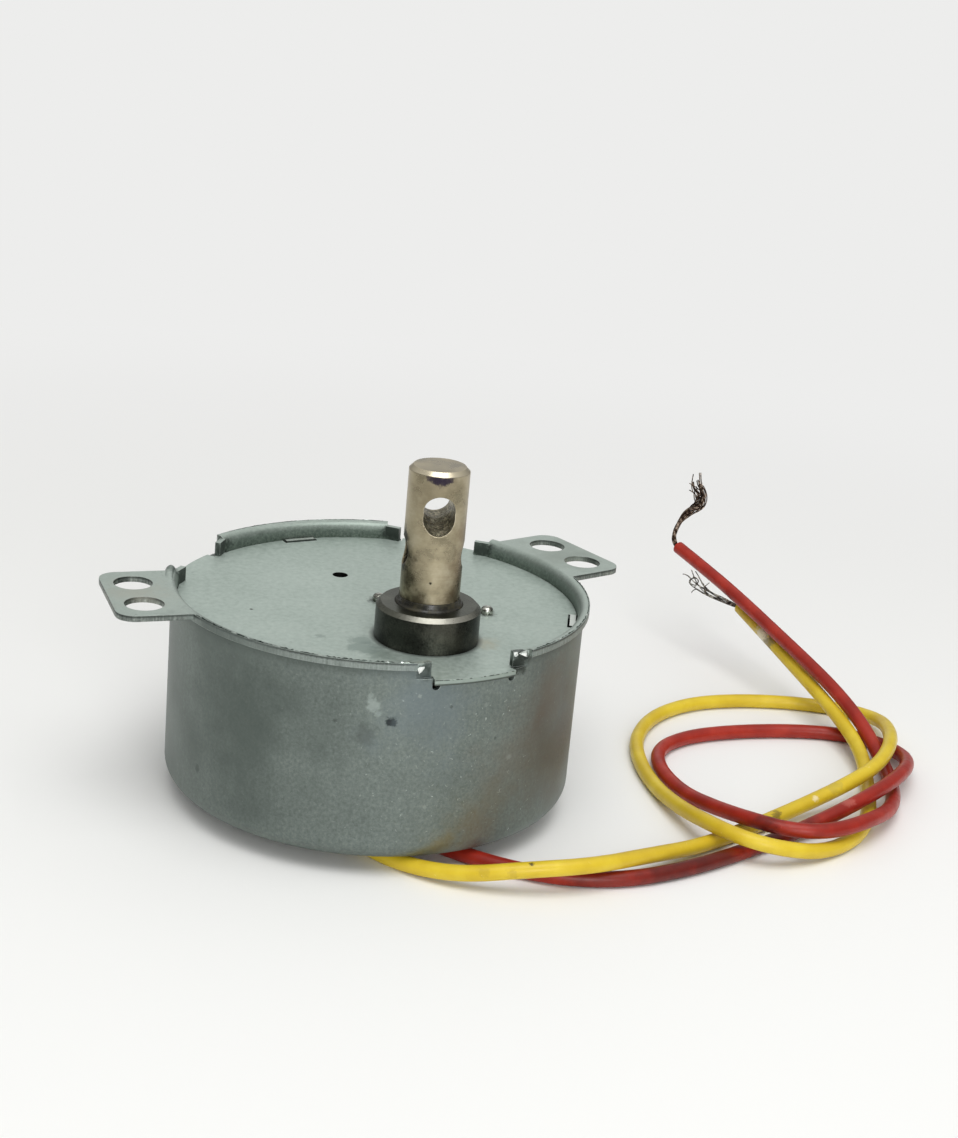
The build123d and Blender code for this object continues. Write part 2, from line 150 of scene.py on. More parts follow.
# Lays a stain with a ragged edge over a colour; the large ones fade out more slowly
def stain(tree, at, base, centre, size, tint, strength):
    facts = stainFacts
    waves = {"Vector": at, "Scale": facts["waveShare"] / size, "Detail": 5.0, "Roughness": 0.65}
    ragged = addNode(tree, "TexNoise", waves)
    far = addNode(tree, "VectorMath", {0: at, 1: centre}, out=1, operation="DISTANCE")
    reach = facts["reachShare"] * size
    edge = addNode(tree, "Math", {0: ragged, 1: reach, 2: far}, operation="MULTIPLY_ADD")
    core = facts["smallCoreShare"] if size < facts["largeFrom"] else facts["largeCoreShare"]
    limits = {0: edge, 1: core * size, 2: reach, 3: strength, 4: 0.0}
    cover = addNode(tree, "MapRange", limits, interpolation_type="SMOOTHSTEP")
    return layOver(tree, base, tint, cover)


# A list of stains. With an axis, each place is a radius, an angle about that axis and a height
def stainAll(tree, at, base, stains, axis=None):
    for spot, size, tint, strength in stains:
        centre = around(*spot, axis) if axis else spot
        base = stain(tree, at, base, centre, size, tint, strength)
    return base


# Millimetres between the breaks of a worn edge
edgeBreak = 1.4


# Paints a colour bright along the edges, with breaks, for wear and as a painted highlight, and leaves the
# faces between them
def wornAndLitEdge(tree, at, base, width, tint, strength):
    rounded = addNode(tree, "Bevel", {"Radius": width * mm}, samples=6)
    flat = addNode(tree, "NewGeometry", out=1)
    facing = addNode(tree, "VectorMath", {0: rounded, 1: flat}, out=1, operation="DOT_PRODUCT")
    turned = addNode(tree, "MapRange", {0: facing, 1: 0.97, 2: 0.8}, interpolation_type="SMOOTHSTEP")
    breaks = addNode(tree, "TexNoise", {"Vector": at, "Scale": 1 / edgeBreak, "Detail": 4.0})
    return layOver(tree, base, tint, turned, (breaks, 0.35, 0.6, strength))


# The way that a face looks, and how far that points up
def faceTurn(tree):
    normal = addNode(tree, "NewGeometry", out=3)
    return normal, addNode(tree, "SeparateXYZ", {0: normal}, out=2)


# The relief of a pattern, on edges that are softened over a radius; both lengths are in millimetres
def softRelief(tree, pattern, depth, radius):
    soft = addNode(tree, "Bevel", {"Radius": radius * mm}, samples=6)
    bump = {"Height": pattern, "Distance": depth * mm, "Strength": 0.5, "Normal": soft}
    return addNode(tree, "Bump", bump)


def addObject(name, data):
    made = bpy.data.objects.new(name, data)
    bpy.context.scene.collection.objects.link(made)
    return made


def dress(material, *nodes):
    for node in nodes:
        slots = bpy.data.objects[node].data.materials
        slots.clear()
        slots.append(material)


print("helpers ready")


# Camera, solved on the can's rim, ears and shaft in the 958 by 1138 frame
cameraFacts = {
    "place": (-102.975, -198.659, 103.266),
    "yaw": 30.424,
    "pitch": -18.684,
    "roll": 5.254,
    "focalPixels": 1953.5,
    "framePixels": 1138,
    "sensor": 36.0,
}


def makeCamera(facts):
    data = bpy.data.cameras.new("camera")
    data.sensor_width = facts["sensor"]
    data.lens = facts["focalPixels"] / facts["framePixels"] * facts["sensor"]
    data.clip_start = 0.01
    camera = addObject("camera", data)
    turn = Matrix.Rotation(-math.radians(facts["yaw"]), 4, "Z")
    tilt = Matrix.Rotation(math.radians(90 + facts["pitch"]), 4, "X")
    roll = Matrix.Rotation(math.radians(facts["roll"]), 4, "Z")
    camera.matrix_world = Matrix.Translation(place(*facts["place"])) @ turn @ tilt @ roll
    bpy.context.scene.camera = camera


makeCamera(cameraFacts)
print("camera placed")


# Leads. The routes are those of the part's source: plan x, plan y and lift over a lead that lies on the floor
leadFacts = {
    "diameter": 1.9,
    "lyingHeight": -1.05,
    "headIn": 17.3,
    "pitch": 3.2,
    "angle": 137.6,
    "exitRun": 5.5,
}
yellowRoute = [
    (-9.0, -1.0, 0), (-9.4, -9.0, 0), (-8.6, -16.5, 0), (-6.0, -22.8, 0), (-1.8, -28.2, 0.7),
    (4.4, -32.4, 2.3), (12.2, -34.4, 2.5), (20.6, -32.9, 1.6), (30.0, -30.4, 0), (39.4, -28.2, 0),
    (48.0, -26.8, 0.9), (55.5, -26.2, 2.5), (62.3, -24.0, 3.2), (68.4, -19.4, 3.4), (73.6, -13.0, 2.3),
    (77.0, -6.8, 0.7), (76.0, -1.4, 0), (69.8, 3.3, 0), (62.2, 6.5, 0), (54.6, 7.6, 0), (46.8, 5.3, 0),
    (40.4, -0.2, 0), (36.6, -6.8, 0), (34.2, -14.0, 0), (32.6, -21.6, 0.9), (31.8, -28.6, 2.2),
    (33.2, -34.2, 2.4), (37.6, -37.0, 1.5), (44.0, -37.0, 0.1), (50.6, -35.0, 0), (56.8, -29.8, 0),
    (61.8, -23.2, 0), (65.6, -17.4, 1.1), (67.8, -11.5, 2.1), (69.1, -3.5, 3.7), (70.0, 3.8, 5.0),
    (70.5, 10.8, 6.6), (71.2, 19.9, 8.5),
]
redRoute = [
    (-5.6, 1.6, 0), (-4.6, -6.4, 0), (-2.6, -14.2, 0), (0.8, -21.4, 0), (5.0, -27.4, 0),
    (10.2, -32.0, 0), (16.8, -34.6, 0), (24.6, -34.8, 0), (33.0, -33.6, 0), (41.4, -31.8, 0),
    (49.2, -31.0, 1.2), (56.8, -29.9, 2.7), (63.8, -26.8, 2.8), (69.6, -22.0, 1.6), (73.0, -16.4, 0.2),
    (72.2, -11.2, 0), (68.2, -7.4, 0), (62.0, -4.6, 0), (54.6, -2.7, 0), (47.4, -2.2, 0),
    (41.2, -4.4, 0), (37.8, -9.8, 0), (36.6, -17.0, 0), (36.4, -24.2, 1.3), (37.2, -30.6, 2.5),
    (40.2, -35.0, 2.6), (45.4, -36.6, 2.5), (52.0, -35.4, 2.4), (59.6, -30.9, 0.7), (65.4, -24.0, 0),
    (68.0, -18.4, 0.7), (69.3, -12.4, 3.2), (69.8, -5.8, 5.2), (69.8, 1.2, 6.9), (69.8, 9.4, 8.6),
    (70.0, 17.8, 10.2), (70.0, 26.4, 11.7), (69.3, 34.6, 13.3),
]


def leadPoints(side, route):
    angle = math.radians(leadFacts["angle"])
    out = Vector((math.cos(angle), math.sin(angle), 0))
    aside = Vector((-math.sin(angle), math.cos(angle), 0)) * side * leadFacts["pitch"] / 2
    height = Vector((0, 0, leadFacts["lyingHeight"]))
    start = out * leadFacts["headIn"] + aside + height
    second = start - out * leadFacts["exitRun"]
    rest = [Vector((x, y, leadFacts["lyingHeight"] + lift)) for x, y, lift in route]
    return [place(*p) for p in [start, second] + rest]


# One smooth spline, with the points as its control points
def smoothSpline(data, points):
    spline = data.splines.new("NURBS")
    spline.points.add(len(points) - 1)
    for target, point in zip(spline.points, points):
        target.co = (*point, 1.0)
    spline.order_u = 3
    spline.use_endpoint_u = True
    return spline


def tubeCurve(name, radius, fineness):
    data = bpy.data.curves.new(name, "CURVE")
    data.dimensions = "3D"
    data.bevel_depth = radius * mm
    data.bevel_resolution = fineness
    data.resolution_u = 12
    data.use_fill_caps = True
    return addObject(name, data)


# Soft PVC drawn over stranded wire: an even colour with a satin gloss, a faint orange peel, grey finger marks
# and small rubs where it has been handled
pvcFacts = {
    "yellow": {
        "tones": threeTones("cdb027", "d3b72b", "d9bf33"),
        "dirt": "7c6a2a",
        "rub": "efe3a0",
        "marks": [
            ((4.9, -32.6, 2.1), 0.3, "2f2a18", 0.9),
            ((-0.2, -30.6, 0.9), 0.8, "a98c2c", 0.4),
            ((2.8, -32.2, 0.9), 0.7, "a98c2c", 0.4),
            # Painted shade on the run beside the can
            ((20.0, -33.2, 0.5), 9.0, "b8931f", 0.45),
            ((33.0, -29.8, -0.5), 8.0, "b8931f", 0.4),
            ((49.6, -27.4, 1.0), 0.45, "e9ddb0", 0.75),
            # Painted shadow of the red lead on the end of the yellow
            ((70.9, 17.0, 6.6), 4.5, "b08a1c", 0.75),
            ((69.6, 12.2, 5.9), 1.7, "d9d0b8", 0.9),
            ((69.6, 10.4, 5.5), 1.2, "7d6f4c", 0.8),
            ((39.1, -28.9, 0.3), 0.7, "5b5026", 0.55),
            ((43.0, -28.4, 0.3), 0.8, "5b4a20", 0.75),
            ((53.0, -26.8, 2.2), 1.2, "a08f45", 0.35),
        ],
    },
    "red": {
        "tones": threeTones("8a1e11", "972416", "a42d1d"),
        "dirt": "5a1a14",
        "rub": "c9685c",
        "marks": [
            ((52.0, -30.6, 1.8), 0.9, "c8766a", 0.35),
            # Painted shade on the lower run, where it lies under the yellow lead and the can
            ((13.0, -33.2, -1.0), 7.0, "4f130b", 0.6),
            ((21.0, -34.8, -1.0), 8.0, "4a110a", 0.85),
            ((30.0, -34.2, -1.0), 8.0, "4a110a", 0.85),
            ((38.0, -32.5, -1.0), 4.0, "4f130b", 0.8),
            ((43.0, -31.7, -1.0), 4.5, "4f130b", 0.75),
        ],
    },
}


# Millimetres between the waves of each pattern
pvcWaves = {"cloud": 4.0, "grime": 1.1, "scuff": 0.6, "peel": 0.35}


def pvcInsulation(name, facts):
    material, tree, shader, at = startMaterial(name, metallic=0.0, roughness=0.42)
    shader.inputs["Specular IOR Level"].default_value = 0.36
    cloud = addNode(tree, "TexNoise", {"Vector": at, "Scale": 1 / pvcWaves["cloud"], "Detail": 4.0})
    base = addNode(tree, "ValToRGB", {0: cloud}, stops=facts["tones"])
    soil = {"Vector": at, "Scale": 1 / pvcWaves["grime"], "Detail": 5.0, "Roughness": 0.7}
    grime = addNode(tree, "TexNoise", soil)
    base = layOver(tree, base, facts["dirt"], (grime, 0.64, 0.82, 0.22))
    rubs = {"Vector": at, "Scale": 1 / pvcWaves["scuff"], "Detail": 3.0, "Distortion": 0.8}
    scuff = addNode(tree, "TexNoise", rubs)
    base = layOver(tree, base, facts["rub"], (scuff, 0.7, 0.78, 0.35))
    base = stainAll(tree, at, base, facts["marks"])
    peel = addNode(tree, "TexNoise", {"Vector": at, "Scale": 1 / pvcWaves["peel"], "Detail": 2.0})
    relief = addNode(tree, "Bump", {"Height": peel, "Distance": 0.02 * mm, "Strength": 0.6})
    wire(tree, shader, base, (grime, 0.35, 0.7, 0.3, 0.46), relief)
    return material


leadPieces = {}
for leadName, tone, side, route, lengthMm in (
    ("lead_yellow", "yellow", 1, yellowRoute, 293),
    ("lead_red", "red", -1, redRoute, 282),
):
    points = leadPoints(side, route)
    piece = tubeCurve("insulation_" + leadName, leadFacts["diameter"] / 2, fineness=8)
    smoothSpline(piece.data, points)
    piece.data.materials.append(pvcInsulation("pvc_insulation_" + tone, pvcFacts[tone]))
    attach(piece, "stator")
    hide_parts(leadName)
    leadPieces[tone] = (piece, points, lengthMm)
print("leads laid")


# Bare strands. Each step is right, up and away as the camera sees them, in millimetres from the cut end of
# the insulation
redStrandFacts = {
    "path": [
        (-0.1, -0.3, 0.0), (-0.6, 0.6, 0.0), (-0.7, 1.8, 0.1), (-0.2, 3.3, 0.2), (0.9, 4.9, 0.3),
        (2.0, 5.8, 0.2), (3.4, 6.6, 0.0), (3.5, 8.2, -0.2), (2.4, 9.6, -0.3), (2.1, 11.2, -0.3),
    ],
    "count": 26,
    "wireRadius": 0.085,
    "bundleRadius": 0.31,
    "turns": 1.1,
    "frayFrom": 0.3,
    "fray": 1.5,
    "seed": 11,
}
yellowStrandFacts = {
    "paths": [
        [(0.1, -0.2, 0), (-1.0, 0.5, 0), (-2.5, 1.2, 0.1), (-4.2, 1.6, 0.2), (-5.4, 2.3, 0.2),
         (-6.3, 3.3, 0.1), (-6.9, 4.5, 0), (-7.3, 5.6, 0)],
        [(0.1, -0.1, 0), (-1.1, 0.6, 0.1), (-2.3, 1.4, 0.2), (-4.4, 2.2, 0), (-5.6, 3.2, -0.1),
         (-6.1, 4.5, 0), (-6.7, 5.4, 0.1)],
        [(0, -0.2, 0), (-1.4, 0.4, 0), (-3.1, 1.0, 0), (-5.0, 1.9, 0.1), (-6.4, 2.7, 0.3),
         (-7.5, 3.4, 0.5), (-7.4, 4.3, 0.3), (-6.6, 4.6, 0), (-6.2, 3.8, -0.2), (-6.9, 3.1, -0.1),
         (-7.7, 3.8, 0.1)],
        [(0.1, -0.2, 0), (-1.6, 0.5, 0.2), (-3.5, 1.3, 0.3), (-4.9, 2.0, 0.3), (-5.6, 2.9, 0.2),
         (-5.1, 3.3, 0.1), (-4.6, 3.7, 0)],
        [(0.1, -0.2, 0), (-1.2, 0.3, -0.1), (-2.9, 1.1, -0.1), (-4.7, 1.7, -0.2), (-6.0, 2.4, -0.2),
         (-6.8, 2.9, 0), (-7.3, 2.2, 0.2)],
        [(0.1, -0.2, 0), (-1.5, 0.6, 0), (-3.3, 1.6, 0.1), (-5.2, 2.6, 0.1), (-6.8, 3.6, 0.2),
         (-7.8, 4.9, 0.2), (-8.6, 5.0, 0.2)],
    ],
    "wireRadius": 0.075,
    "seed": 5,
}

# Copper strands left in the air: dark brown oxide with bright metal where the wires have rubbed
copperFacts = {"tones": ((0.36, "211915"), (0.5, "463529"), (0.66, "a89888")), "size": 0.5}
# Tinned copper strands: grey, thin and dull, with darker stretches
tinnedFacts = {"tones": threeTones("2a2724", "55514b", "a8a49a"), "size": 0.6}


def patchyMetal(name, facts):
    material, tree, shader, at = startMaterial(name, metallic=0.9, roughness=0.38)
    patches = addNode(tree, "TexNoise", {"Vector": at, "Scale": 1 / facts["size"], "Detail": 3.0})
    base = addNode(tree, "ValToRGB", {0: patches}, stops=facts["tones"])
    wire(tree, shader, base, (patches, 0.4, 0.62, 0.6, 0.28))
    return material


def stepsFrom(start, steps):
    turn = bpy.context.scene.camera.matrix_world.to_3x3()
    return [start + turn @ Vector((right, up, -away)) * mm for right, up, away in steps]


# Points along a smooth line through the steps, read from its spline
def alongSpline(points):
    data = bpy.data.curves.new("guide", "CURVE")
    data.dimensions = "3D"
    data.resolution_u = 5
    smoothSpline(data, points)
    guide = addObject("guide", data)
    bpy.context.view_layer.update()
    mesh = bpy.data.meshes.new_from_object(guide)
    line = [v.co.copy() for v in mesh.vertices]
    bpy.data.objects.remove(guide)
    bpy.data.meshes.remove(mesh)
    return line


def makeRedStrands(facts, end):
    dice = random.Random(facts["seed"])
    line = alongSpline(stepsFrom(end, facts["path"]))
    piece = tubeCurve("bare_strands_red", facts["wireRadius"], fineness=1)
    last = len(line) - 1
    for strand in range(facts["count"]):
        phase = 2 * math.pi * strand / facts["count"]
        inBundle = facts["bundleRadius"] * math.sqrt(dice.uniform(0.08, 1.0))
        fray = facts["fray"] * dice.uniform(0.05, 1.0)
        wander = dice.uniform(-1.2, 1.2)
        stop = last - dice.randint(0, last // 5)
        points = []
        for index in range(0, stop + 1, 2):
            share = index / last
            along = (line[min(index + 1, last)] - line[max(index - 1, 0)]).normalized()
            side = along.cross(Vector((0.5, 0.85, 0.1))).normalized()
            loose = max(0.0, (share - facts["frayFrom"]) / (1 - facts["frayFrom"]))
            reach = inBundle * min(1.0, 0.7 + share * 3) + fray * loose ** 1.1
            angle = phase + 2 * math.pi * facts["turns"] * share + wander * loose * 2
            offset = side * math.cos(angle) + along.cross(side) * math.sin(angle)
            shake = Vector([dice.uniform(-0.16, 0.16) * loose for _ in range(3)])
            points.append(line[index] + (offset * reach + shake) * mm)
        smoothSpline(piece.data, points)
    piece.data.materials.append(patchyMetal("browned_copper_strands", copperFacts))
    return piece


def makeYellowStrands(facts, end):
    dice = random.Random(facts["seed"])
    piece = tubeCurve("bare_strands_yellow", facts["wireRadius"], fineness=1)
    for path in facts["paths"]:
        points = stepsFrom(end, path)
        smoothSpline(piece.data, points)
        beside = [p + Vector([dice.uniform(-0.18, 0.18) * mm for _ in range(3)]) for p in points[:-1]]
        smoothSpline(piece.data, beside)
    piece.data.materials.append(patchyMetal("tinned_copper_strands", tinnedFacts))
    return piece


strands = {
    "red": makeRedStrands(redStrandFacts, leadPieces["red"][1][-1]),
    "yellow": makeYellowStrands(yellowStrandFacts, leadPieces["yellow"][1][-1]),
}
for tone, slotName in (("red", "bare_copper"), ("yellow", "tinned_wire")):
    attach(strands[tone], "stator")
    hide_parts("strands_" + tone)
    piece, points, lengthMm = leadPieces[tone]
print("strands drawn")


# Cold-rolled sheet, drawn into a cup and zinc plated: a grey-green skin, finely mottled and half dull, with
# faint upright draw lines, pale sheared edges, a few rubs and stains, painted warm reflections on one side
# and low down, and painted shade on the sides, under the lip and inside the rim
zincFacts = {
    "wall": ((0.3, "575f5b"), (0.5, "6e7772"), (0.7, "858f89")),
    "paleAndLitFlange": ((0.32, "a1ada4"), (0.5, "b0bcb4"), (0.68, "bcc6be")),
    "flangeFrom": 23.5,
    "flangeFull": 23.8,
    "shadeFrom": 22.4,
    "shade": "434b47",
    "sheared": ((0.36, "727b76"), (0.5, "868f8a"), (0.66, "9aa39d")),
    "earEdgeAndShade": threeTones("4d5450", "737a75", "a2a9a3"),
    "torn": "272d29",
    "tornFrom": 24.52,
    "earFrom": 26.2,
    "inside": ((0.34, "454f47"), (0.5, "59645b"), (0.66, "747f76")),
    "outerFrom": 24.7,
    "bendFrom": 22.6,
    "bendFull": 24.6,
    "stakes": [around(24.6, angle, 23.7) for angle in (30.5, 59.5, 120.5, 149.5)],
    "stakeRadius": 1.9,
    "stakeShadeTone": "2b312d",
    "lipRadius": 25.35,
    "mottle": 0.38,
    "cloud": 8.0,
    "drawLine": 0.45,
    "streak": 0.2,
    "fleck": 0.4,
    "fleckTone": "ccd4cf",
    "pitTone": "3e4543",
    "wornAndLitTone": "cfd7d1",
    "wornWidth": 0.22,
    "rubbedAt": (1.0, -25.0, 12.0),
    "stains": [
        # Painted warm reflections on the right side of the wall
        ((11.5, -22.2, 17.0), 5.0, "6a5d50", 0.5),
        ((14.5, -20.4, 10.0), 8.0, "665c52", 0.5),
        ((6.7, -24.1, 10.9), 6.0, "77695a", 0.3),
        # Painted warm reflections low on the front of the wall
        ((1.1, -25.0, 2.6), 3.6, "7b6c4f", 0.45),
        ((2.6, -24.9, 6.4), 4.0, "76705c", 0.35),
        ((-2.6, -24.9, 1.3), 2.6, "80744f", 0.5),
        ((-9.25, -23.22, 17.36), 0.62, "0a0d09", 1.0),
        ((-9.5, -23.12, 17.3), 0.4, "0a0d09", 1.0),
        ((-11.28, -22.31, 19.16), 0.8, "a3aea9", 0.5),
        ((-10.7, -22.6, 18.3), 0.4, "a3aea9", 0.35),
        ((-11.6, -22.1, 20.3), 0.35, "a3aea9", 0.35),
        ((-11.85, -22.01, 15.63), 1.4, "4c5250", 0.45),
        # A painted bluish reflection on the front of the wall
        ((-5.5, -24.4, 19.0), 7.0, "6f7b80", 0.5),
        # Painted shade on the left side of the wall
        ((-22.9, -10.0, 13.8), 11.0, "4c5550", 0.65),
        # Painted shade on the right side of the wall
        ((16.5, -18.8, 5.8), 5.0, "67655f", 0.45),
        ((18.0, -17.3, 13.0), 8.0, "585b55", 0.4),
        ((-6.5, -24.1, 20.5), 0.25, "a3aca6", 0.4),
        ((1.6, -25.0, 18.8), 0.3, "9aa39d", 0.35),
        ((-4.9, -24.5, 6.9), 0.3, "9aa39d", 0.35),
        ((5.6, -24.4, 11.6), 0.4, "9a9f98", 0.35),
        # Painted shade on the stakes beside the front tab
        (around(24.9, -76.0, 24.0), 1.1, "252b27", 0.8),
        (around(24.7, -75.6, 23.0), 1.3, "2b312c", 0.85),
        (around(24.6, -77.0, 22.6), 1.0, "2b312c", 0.8),
        (around(24.7, -104.2, 23.2), 0.9, "454c47", 0.6),
        (around(29.5, 171.0, 24.6), 4.5, "b3b1a3", 0.45),
        (around(29.5, 9.0, 24.6), 6.5, "8c968d", 0.6),
        (around(25.6, -164.0, 24.1), 5.0, "59625d", 0.75),
        (around(25.6, -150.0, 24.1), 5.0, "666f6a", 0.5),
        # Painted shade dulls the top of the raised lip end
        (around(25.1, 152.5, 24.9), 1.2, "59635d", 0.6),
        # Painted shade on the stake at the front-left
        (around(25.0, -103.5, 24.0), 0.9, "323934", 0.7),
        ((3.3, -24.8, 14.4), 0.2, "3f4541", 0.6),
        ((-14.8, -20.2, 17.0), 0.25, "444b47", 0.6),
        ((-24.5, -4.8, 5.8), 0.5, "484f4b", 0.55),
        ((-2.8, -24.8, 19.0), 0.2, "454b48", 0.6),
    ],
}


def zincPlatedSteel(facts):
    material, tree, shader, at = startMaterial("zinc_plated_steel", metallic=0.7, roughness=0.45)
    fine = {"Vector": at, "Scale": 1 / facts["mottle"], "Detail": 6.0, "Roughness": 0.7}
    mottle = addNode(tree, "TexNoise", fine)
    cloud = addNode(tree, "TexNoise", {"Vector": at, "Scale": 1 / facts["cloud"], "Detail": 4.0})
    upright = addNode(tree, "VectorMath", {0: at, 1: (1, 1, 0.05)}, operation="MULTIPLY")
    drawn = addNode(tree, "TexNoise", {"Vector": upright, "Scale": 1 / facts["drawLine"], "Detail": 4.0})
    tone = addNode(tree, "Mix", {0: 0.3, 2: mottle, 3: cloud})
    tone = addNode(tree, "Mix", {0: 0.07, 2: tone, 3: drawn})
    base = addNode(tree, "ValToRGB", {0: tone}, stops=facts["wall"])
    height = addNode(tree, "SeparateXYZ", {0: at}, out=2)
    plan = addNode(tree, "VectorMath", {0: at, 1: (1, 1, 0)}, operation="MULTIPLY")
    radius = addNode(tree, "VectorMath", {0: plan}, out=1, operation="LENGTH")
    outer = addNode(tree, "MapRange", {0: radius, 1: facts["outerFrom"], 2: facts["outerFrom"] + 0.2})
    # The top of the can, lip and ears, is paler than the wall, partly painted light on its upper faces: a
    # sharp change outside, a slow one over the bend inside
    riseOut = {0: height, 1: facts["flangeFrom"], 2: facts["flangeFull"]}
    flangeOut = addNode(tree, "MapRange", riseOut, interpolation_type="SMOOTHSTEP")
    riseIn = {0: height, 1: facts["bendFrom"], 2: facts["bendFull"]}
    flangeIn = addNode(tree, "MapRange", riseIn, interpolation_type="SMOOTHSTEP")
    paleAndLitFlange = addNode(tree, "Mix", {0: outer, 2: flangeIn, 3: flangeOut})
    # Painted shade darkens the wall just under the lip
    under = (height, facts["shadeFrom"], facts["flangeFrom"], 0.55)
    base = layOver(tree, base, facts["shade"], under, outer)
    pale = addNode(tree, "ValToRGB", {0: tone}, stops=facts["paleAndLitFlange"])
    base = layOver(tree, base, pale, paleAndLitFlange)
    # Bright flecks and dark pits of the plating
    spots = {"Vector": at, "Scale": 1 / facts["fleck"], "Detail": 2.0, "Distortion": 1.0}
    fleck = addNode(tree, "TexNoise", spots)
    rubFar = addNode(tree, "VectorMath", {0: at, 1: facts["rubbedAt"]}, out=1, operation="DISTANCE")
    brightShare = addNode(tree, "MapRange", {0: rubFar, 1: 6.0, 2: 18.0, 3: 0.8, 4: 0.2})
    base = layOver(tree, base, facts["fleckTone"], (fleck, 0.68, 0.8, brightShare))
    base = layOver(tree, base, facts["pitTone"], (fleck, 0.32, 0.22, 0.45))
    # Sheared edges of the lip and the ears face sideways, outside the wall
    outside = addNode(tree, "MapRange", {0: radius, 1: facts["lipRadius"], 2: facts["lipRadius"] + 0.05})
    normal, normalUp = faceTurn(tree)
    lean = addNode(tree, "Math", {0: normalUp}, operation="ABSOLUTE")
    sideways = addNode(tree, "MapRange", {0: lean, 1: 0.2, 2: 0.4, 3: 1.0, 4: 0.0})
    sheared = addNode(tree, "Math", {0: outside, 1: sideways}, operation="MULTIPLY")
    # Painted shade: the inside of the wall over the cover is darker, most of all down by the cover
    outwards = addNode(tree, "VectorMath", {0: plan}, operation="NORMALIZE")
    facing = addNode(tree, "VectorMath", {0: normal, 1: outwards}, out=1, operation="DOT_PRODUCT")
    deep = {0: height, 1: facts["bendFrom"], 2: facts["bendFull"], 3: 1.0, 4: 0.45}
    depth = addNode(tree, "MapRange", deep)
    insideShade = addNode(tree, "ValToRGB", {0: mottle}, stops=facts["inside"])
    base = layOver(tree, base, insideShade, (facing, -0.2, -0.8, 0.9), depth)
    # The stakes at the back are darkest on the side that the punch has turned inwards: painted shade
    level = addNode(tree, "MapRange", {0: normalUp, 1: 0.5, 2: 0.8, 3: 0.85, 4: 0.0})
    turnedInShade = addNode(tree, "MapRange", {0: facing, 1: 0.5, 2: 0.1, 3: 0.0, 4: level})
    for centre in facts["stakes"]:
        base = stain(tree, at, base, centre, facts["stakeRadius"], facts["stakeShadeTone"], turnedInShade)
    shear = {"Vector": upright, "Scale": 1 / facts["streak"], "Detail": 3.0, "Roughness": 0.6}
    streak = addNode(tree, "Mix", {0: 0.5, 2: addNode(tree, "TexNoise", shear), 3: mottle})
    cutLip = addNode(tree, "ValToRGB", {0: streak}, stops=facts["sheared"])
    # The ears' cut edges are darker, partly painted shade in the walls of their holes
    cutEar = addNode(tree, "ValToRGB", {0: streak}, stops=facts["earEdgeAndShade"])
    cut = layOver(tree, cutLip, cutEar, (radius, facts["earFrom"], facts["earFrom"] + 0.4, 1.0))
    # Along its top a sheared edge is torn and dark, partly painted shadow under the burr
    ragged = addNode(tree, "Math", {0: mottle, 1: 0.5, 2: height}, operation="MULTIPLY_ADD")
    cut = layOver(tree, cut, facts["torn"], (ragged, facts["tornFrom"], facts["tornFrom"] + 0.16, 0.75))
    base = layOver(tree, base, cut, sheared)
    base = stainAll(tree, at, base, facts["stains"])
    base = wornAndLitEdge(tree, at, base, facts["wornWidth"], facts["wornAndLitTone"], strength=0.3)
    grain = softRelief(tree, mottle, depth=0.02, radius=0.12)
    cutLines = {"Height": streak, "Distance": 0.02 * mm, "Strength": sheared, "Normal": grain}
    wire(tree, shader, base, (mottle, 0.3, 0.7, 0.38, 0.56), addNode(tree, "Bump", cutLines))
    return material


zincMaterial = zincPlatedSteel(zincFacts)
dress(zincMaterial, "case")
print("can plated")


# A bmesh in metres becomes a piece of the given material on the fixed body. A thickness makes a sheet of it
def finishPiece(name, shape, material, thickness=0.0, smooth=False):
    bmesh.ops.recalc_face_normals(shape, faces=shape.faces)
    if thickness:
        bmesh.ops.solidify(shape, geom=shape.faces[:], thickness=thickness * mm)
    mesh = bpy.data.meshes.new(name)
    shape.to_mesh(mesh)
    shape.free()
    mesh.materials.append(material)
    mesh.polygons.foreach_set("use_smooth", [smooth] * len(mesh.polygons))
    piece = addObject(name, mesh)
    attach(piece, "stator")


# The trimming tool has left a ragged burr along the top of the lip
burrFacts = {
    "radius": 25.5,
    "rim": 24.58,
    "spans": ((-171.0, -107.5, 0.2), (-72.5, -9.0, 0.2), (63.0, 117.0, 0.07)),
    "toothDegrees": 0.6,
    "low": 0.03,
    "lean": 0.06,
    "thickness": 0.09,
    "seed": 3,
    # The burr's finish is dark, partly dirt and partly painted shade, with painted glints where its patches
    # are brightest
    "metal": {"tones": ((0.36, "39413c"), (0.54, "5b6660"), (0.68, "d5ddd7")), "size": 1.1},
}


def makeBurr(facts):
    dice = random.Random(facts["seed"])
    shape = bmesh.new()
    centre = place(0, 0, facts["rim"])
    for first, last, high in facts["spans"]:
        start = shape.verts.new(place(*around(facts["radius"], first, facts["rim"])))
        steps = round((last - first) / facts["toothDegrees"])
        turn = math.radians(last - first)
        bmesh.ops.spin(shape, geom=[start], cent=centre, axis=(0, 0, 1), angle=turn, steps=steps)
        bare = [edge for edge in shape.edges if not edge.link_faces]
        lifted = bmesh.ops.extrude_edge_only(shape, edges=bare)["geom"]
        for vert in lifted:
            if isinstance(vert, bmesh.types.BMVert):
                rise = facts["low"] + (high - facts["low"]) * dice.random() ** 2
                outward = (vert.co - centre).normalized() * dice.uniform(-1, 1) * facts["lean"]
                vert.co += (outward + Vector((0, 0, rise))) * mm
    metal = patchyMetal("burred_zinc_edge_shade_and_glints", facts["metal"])
    finishPiece("lip_burr", shape, metal, facts["thickness"])


makeBurr(burrFacts)

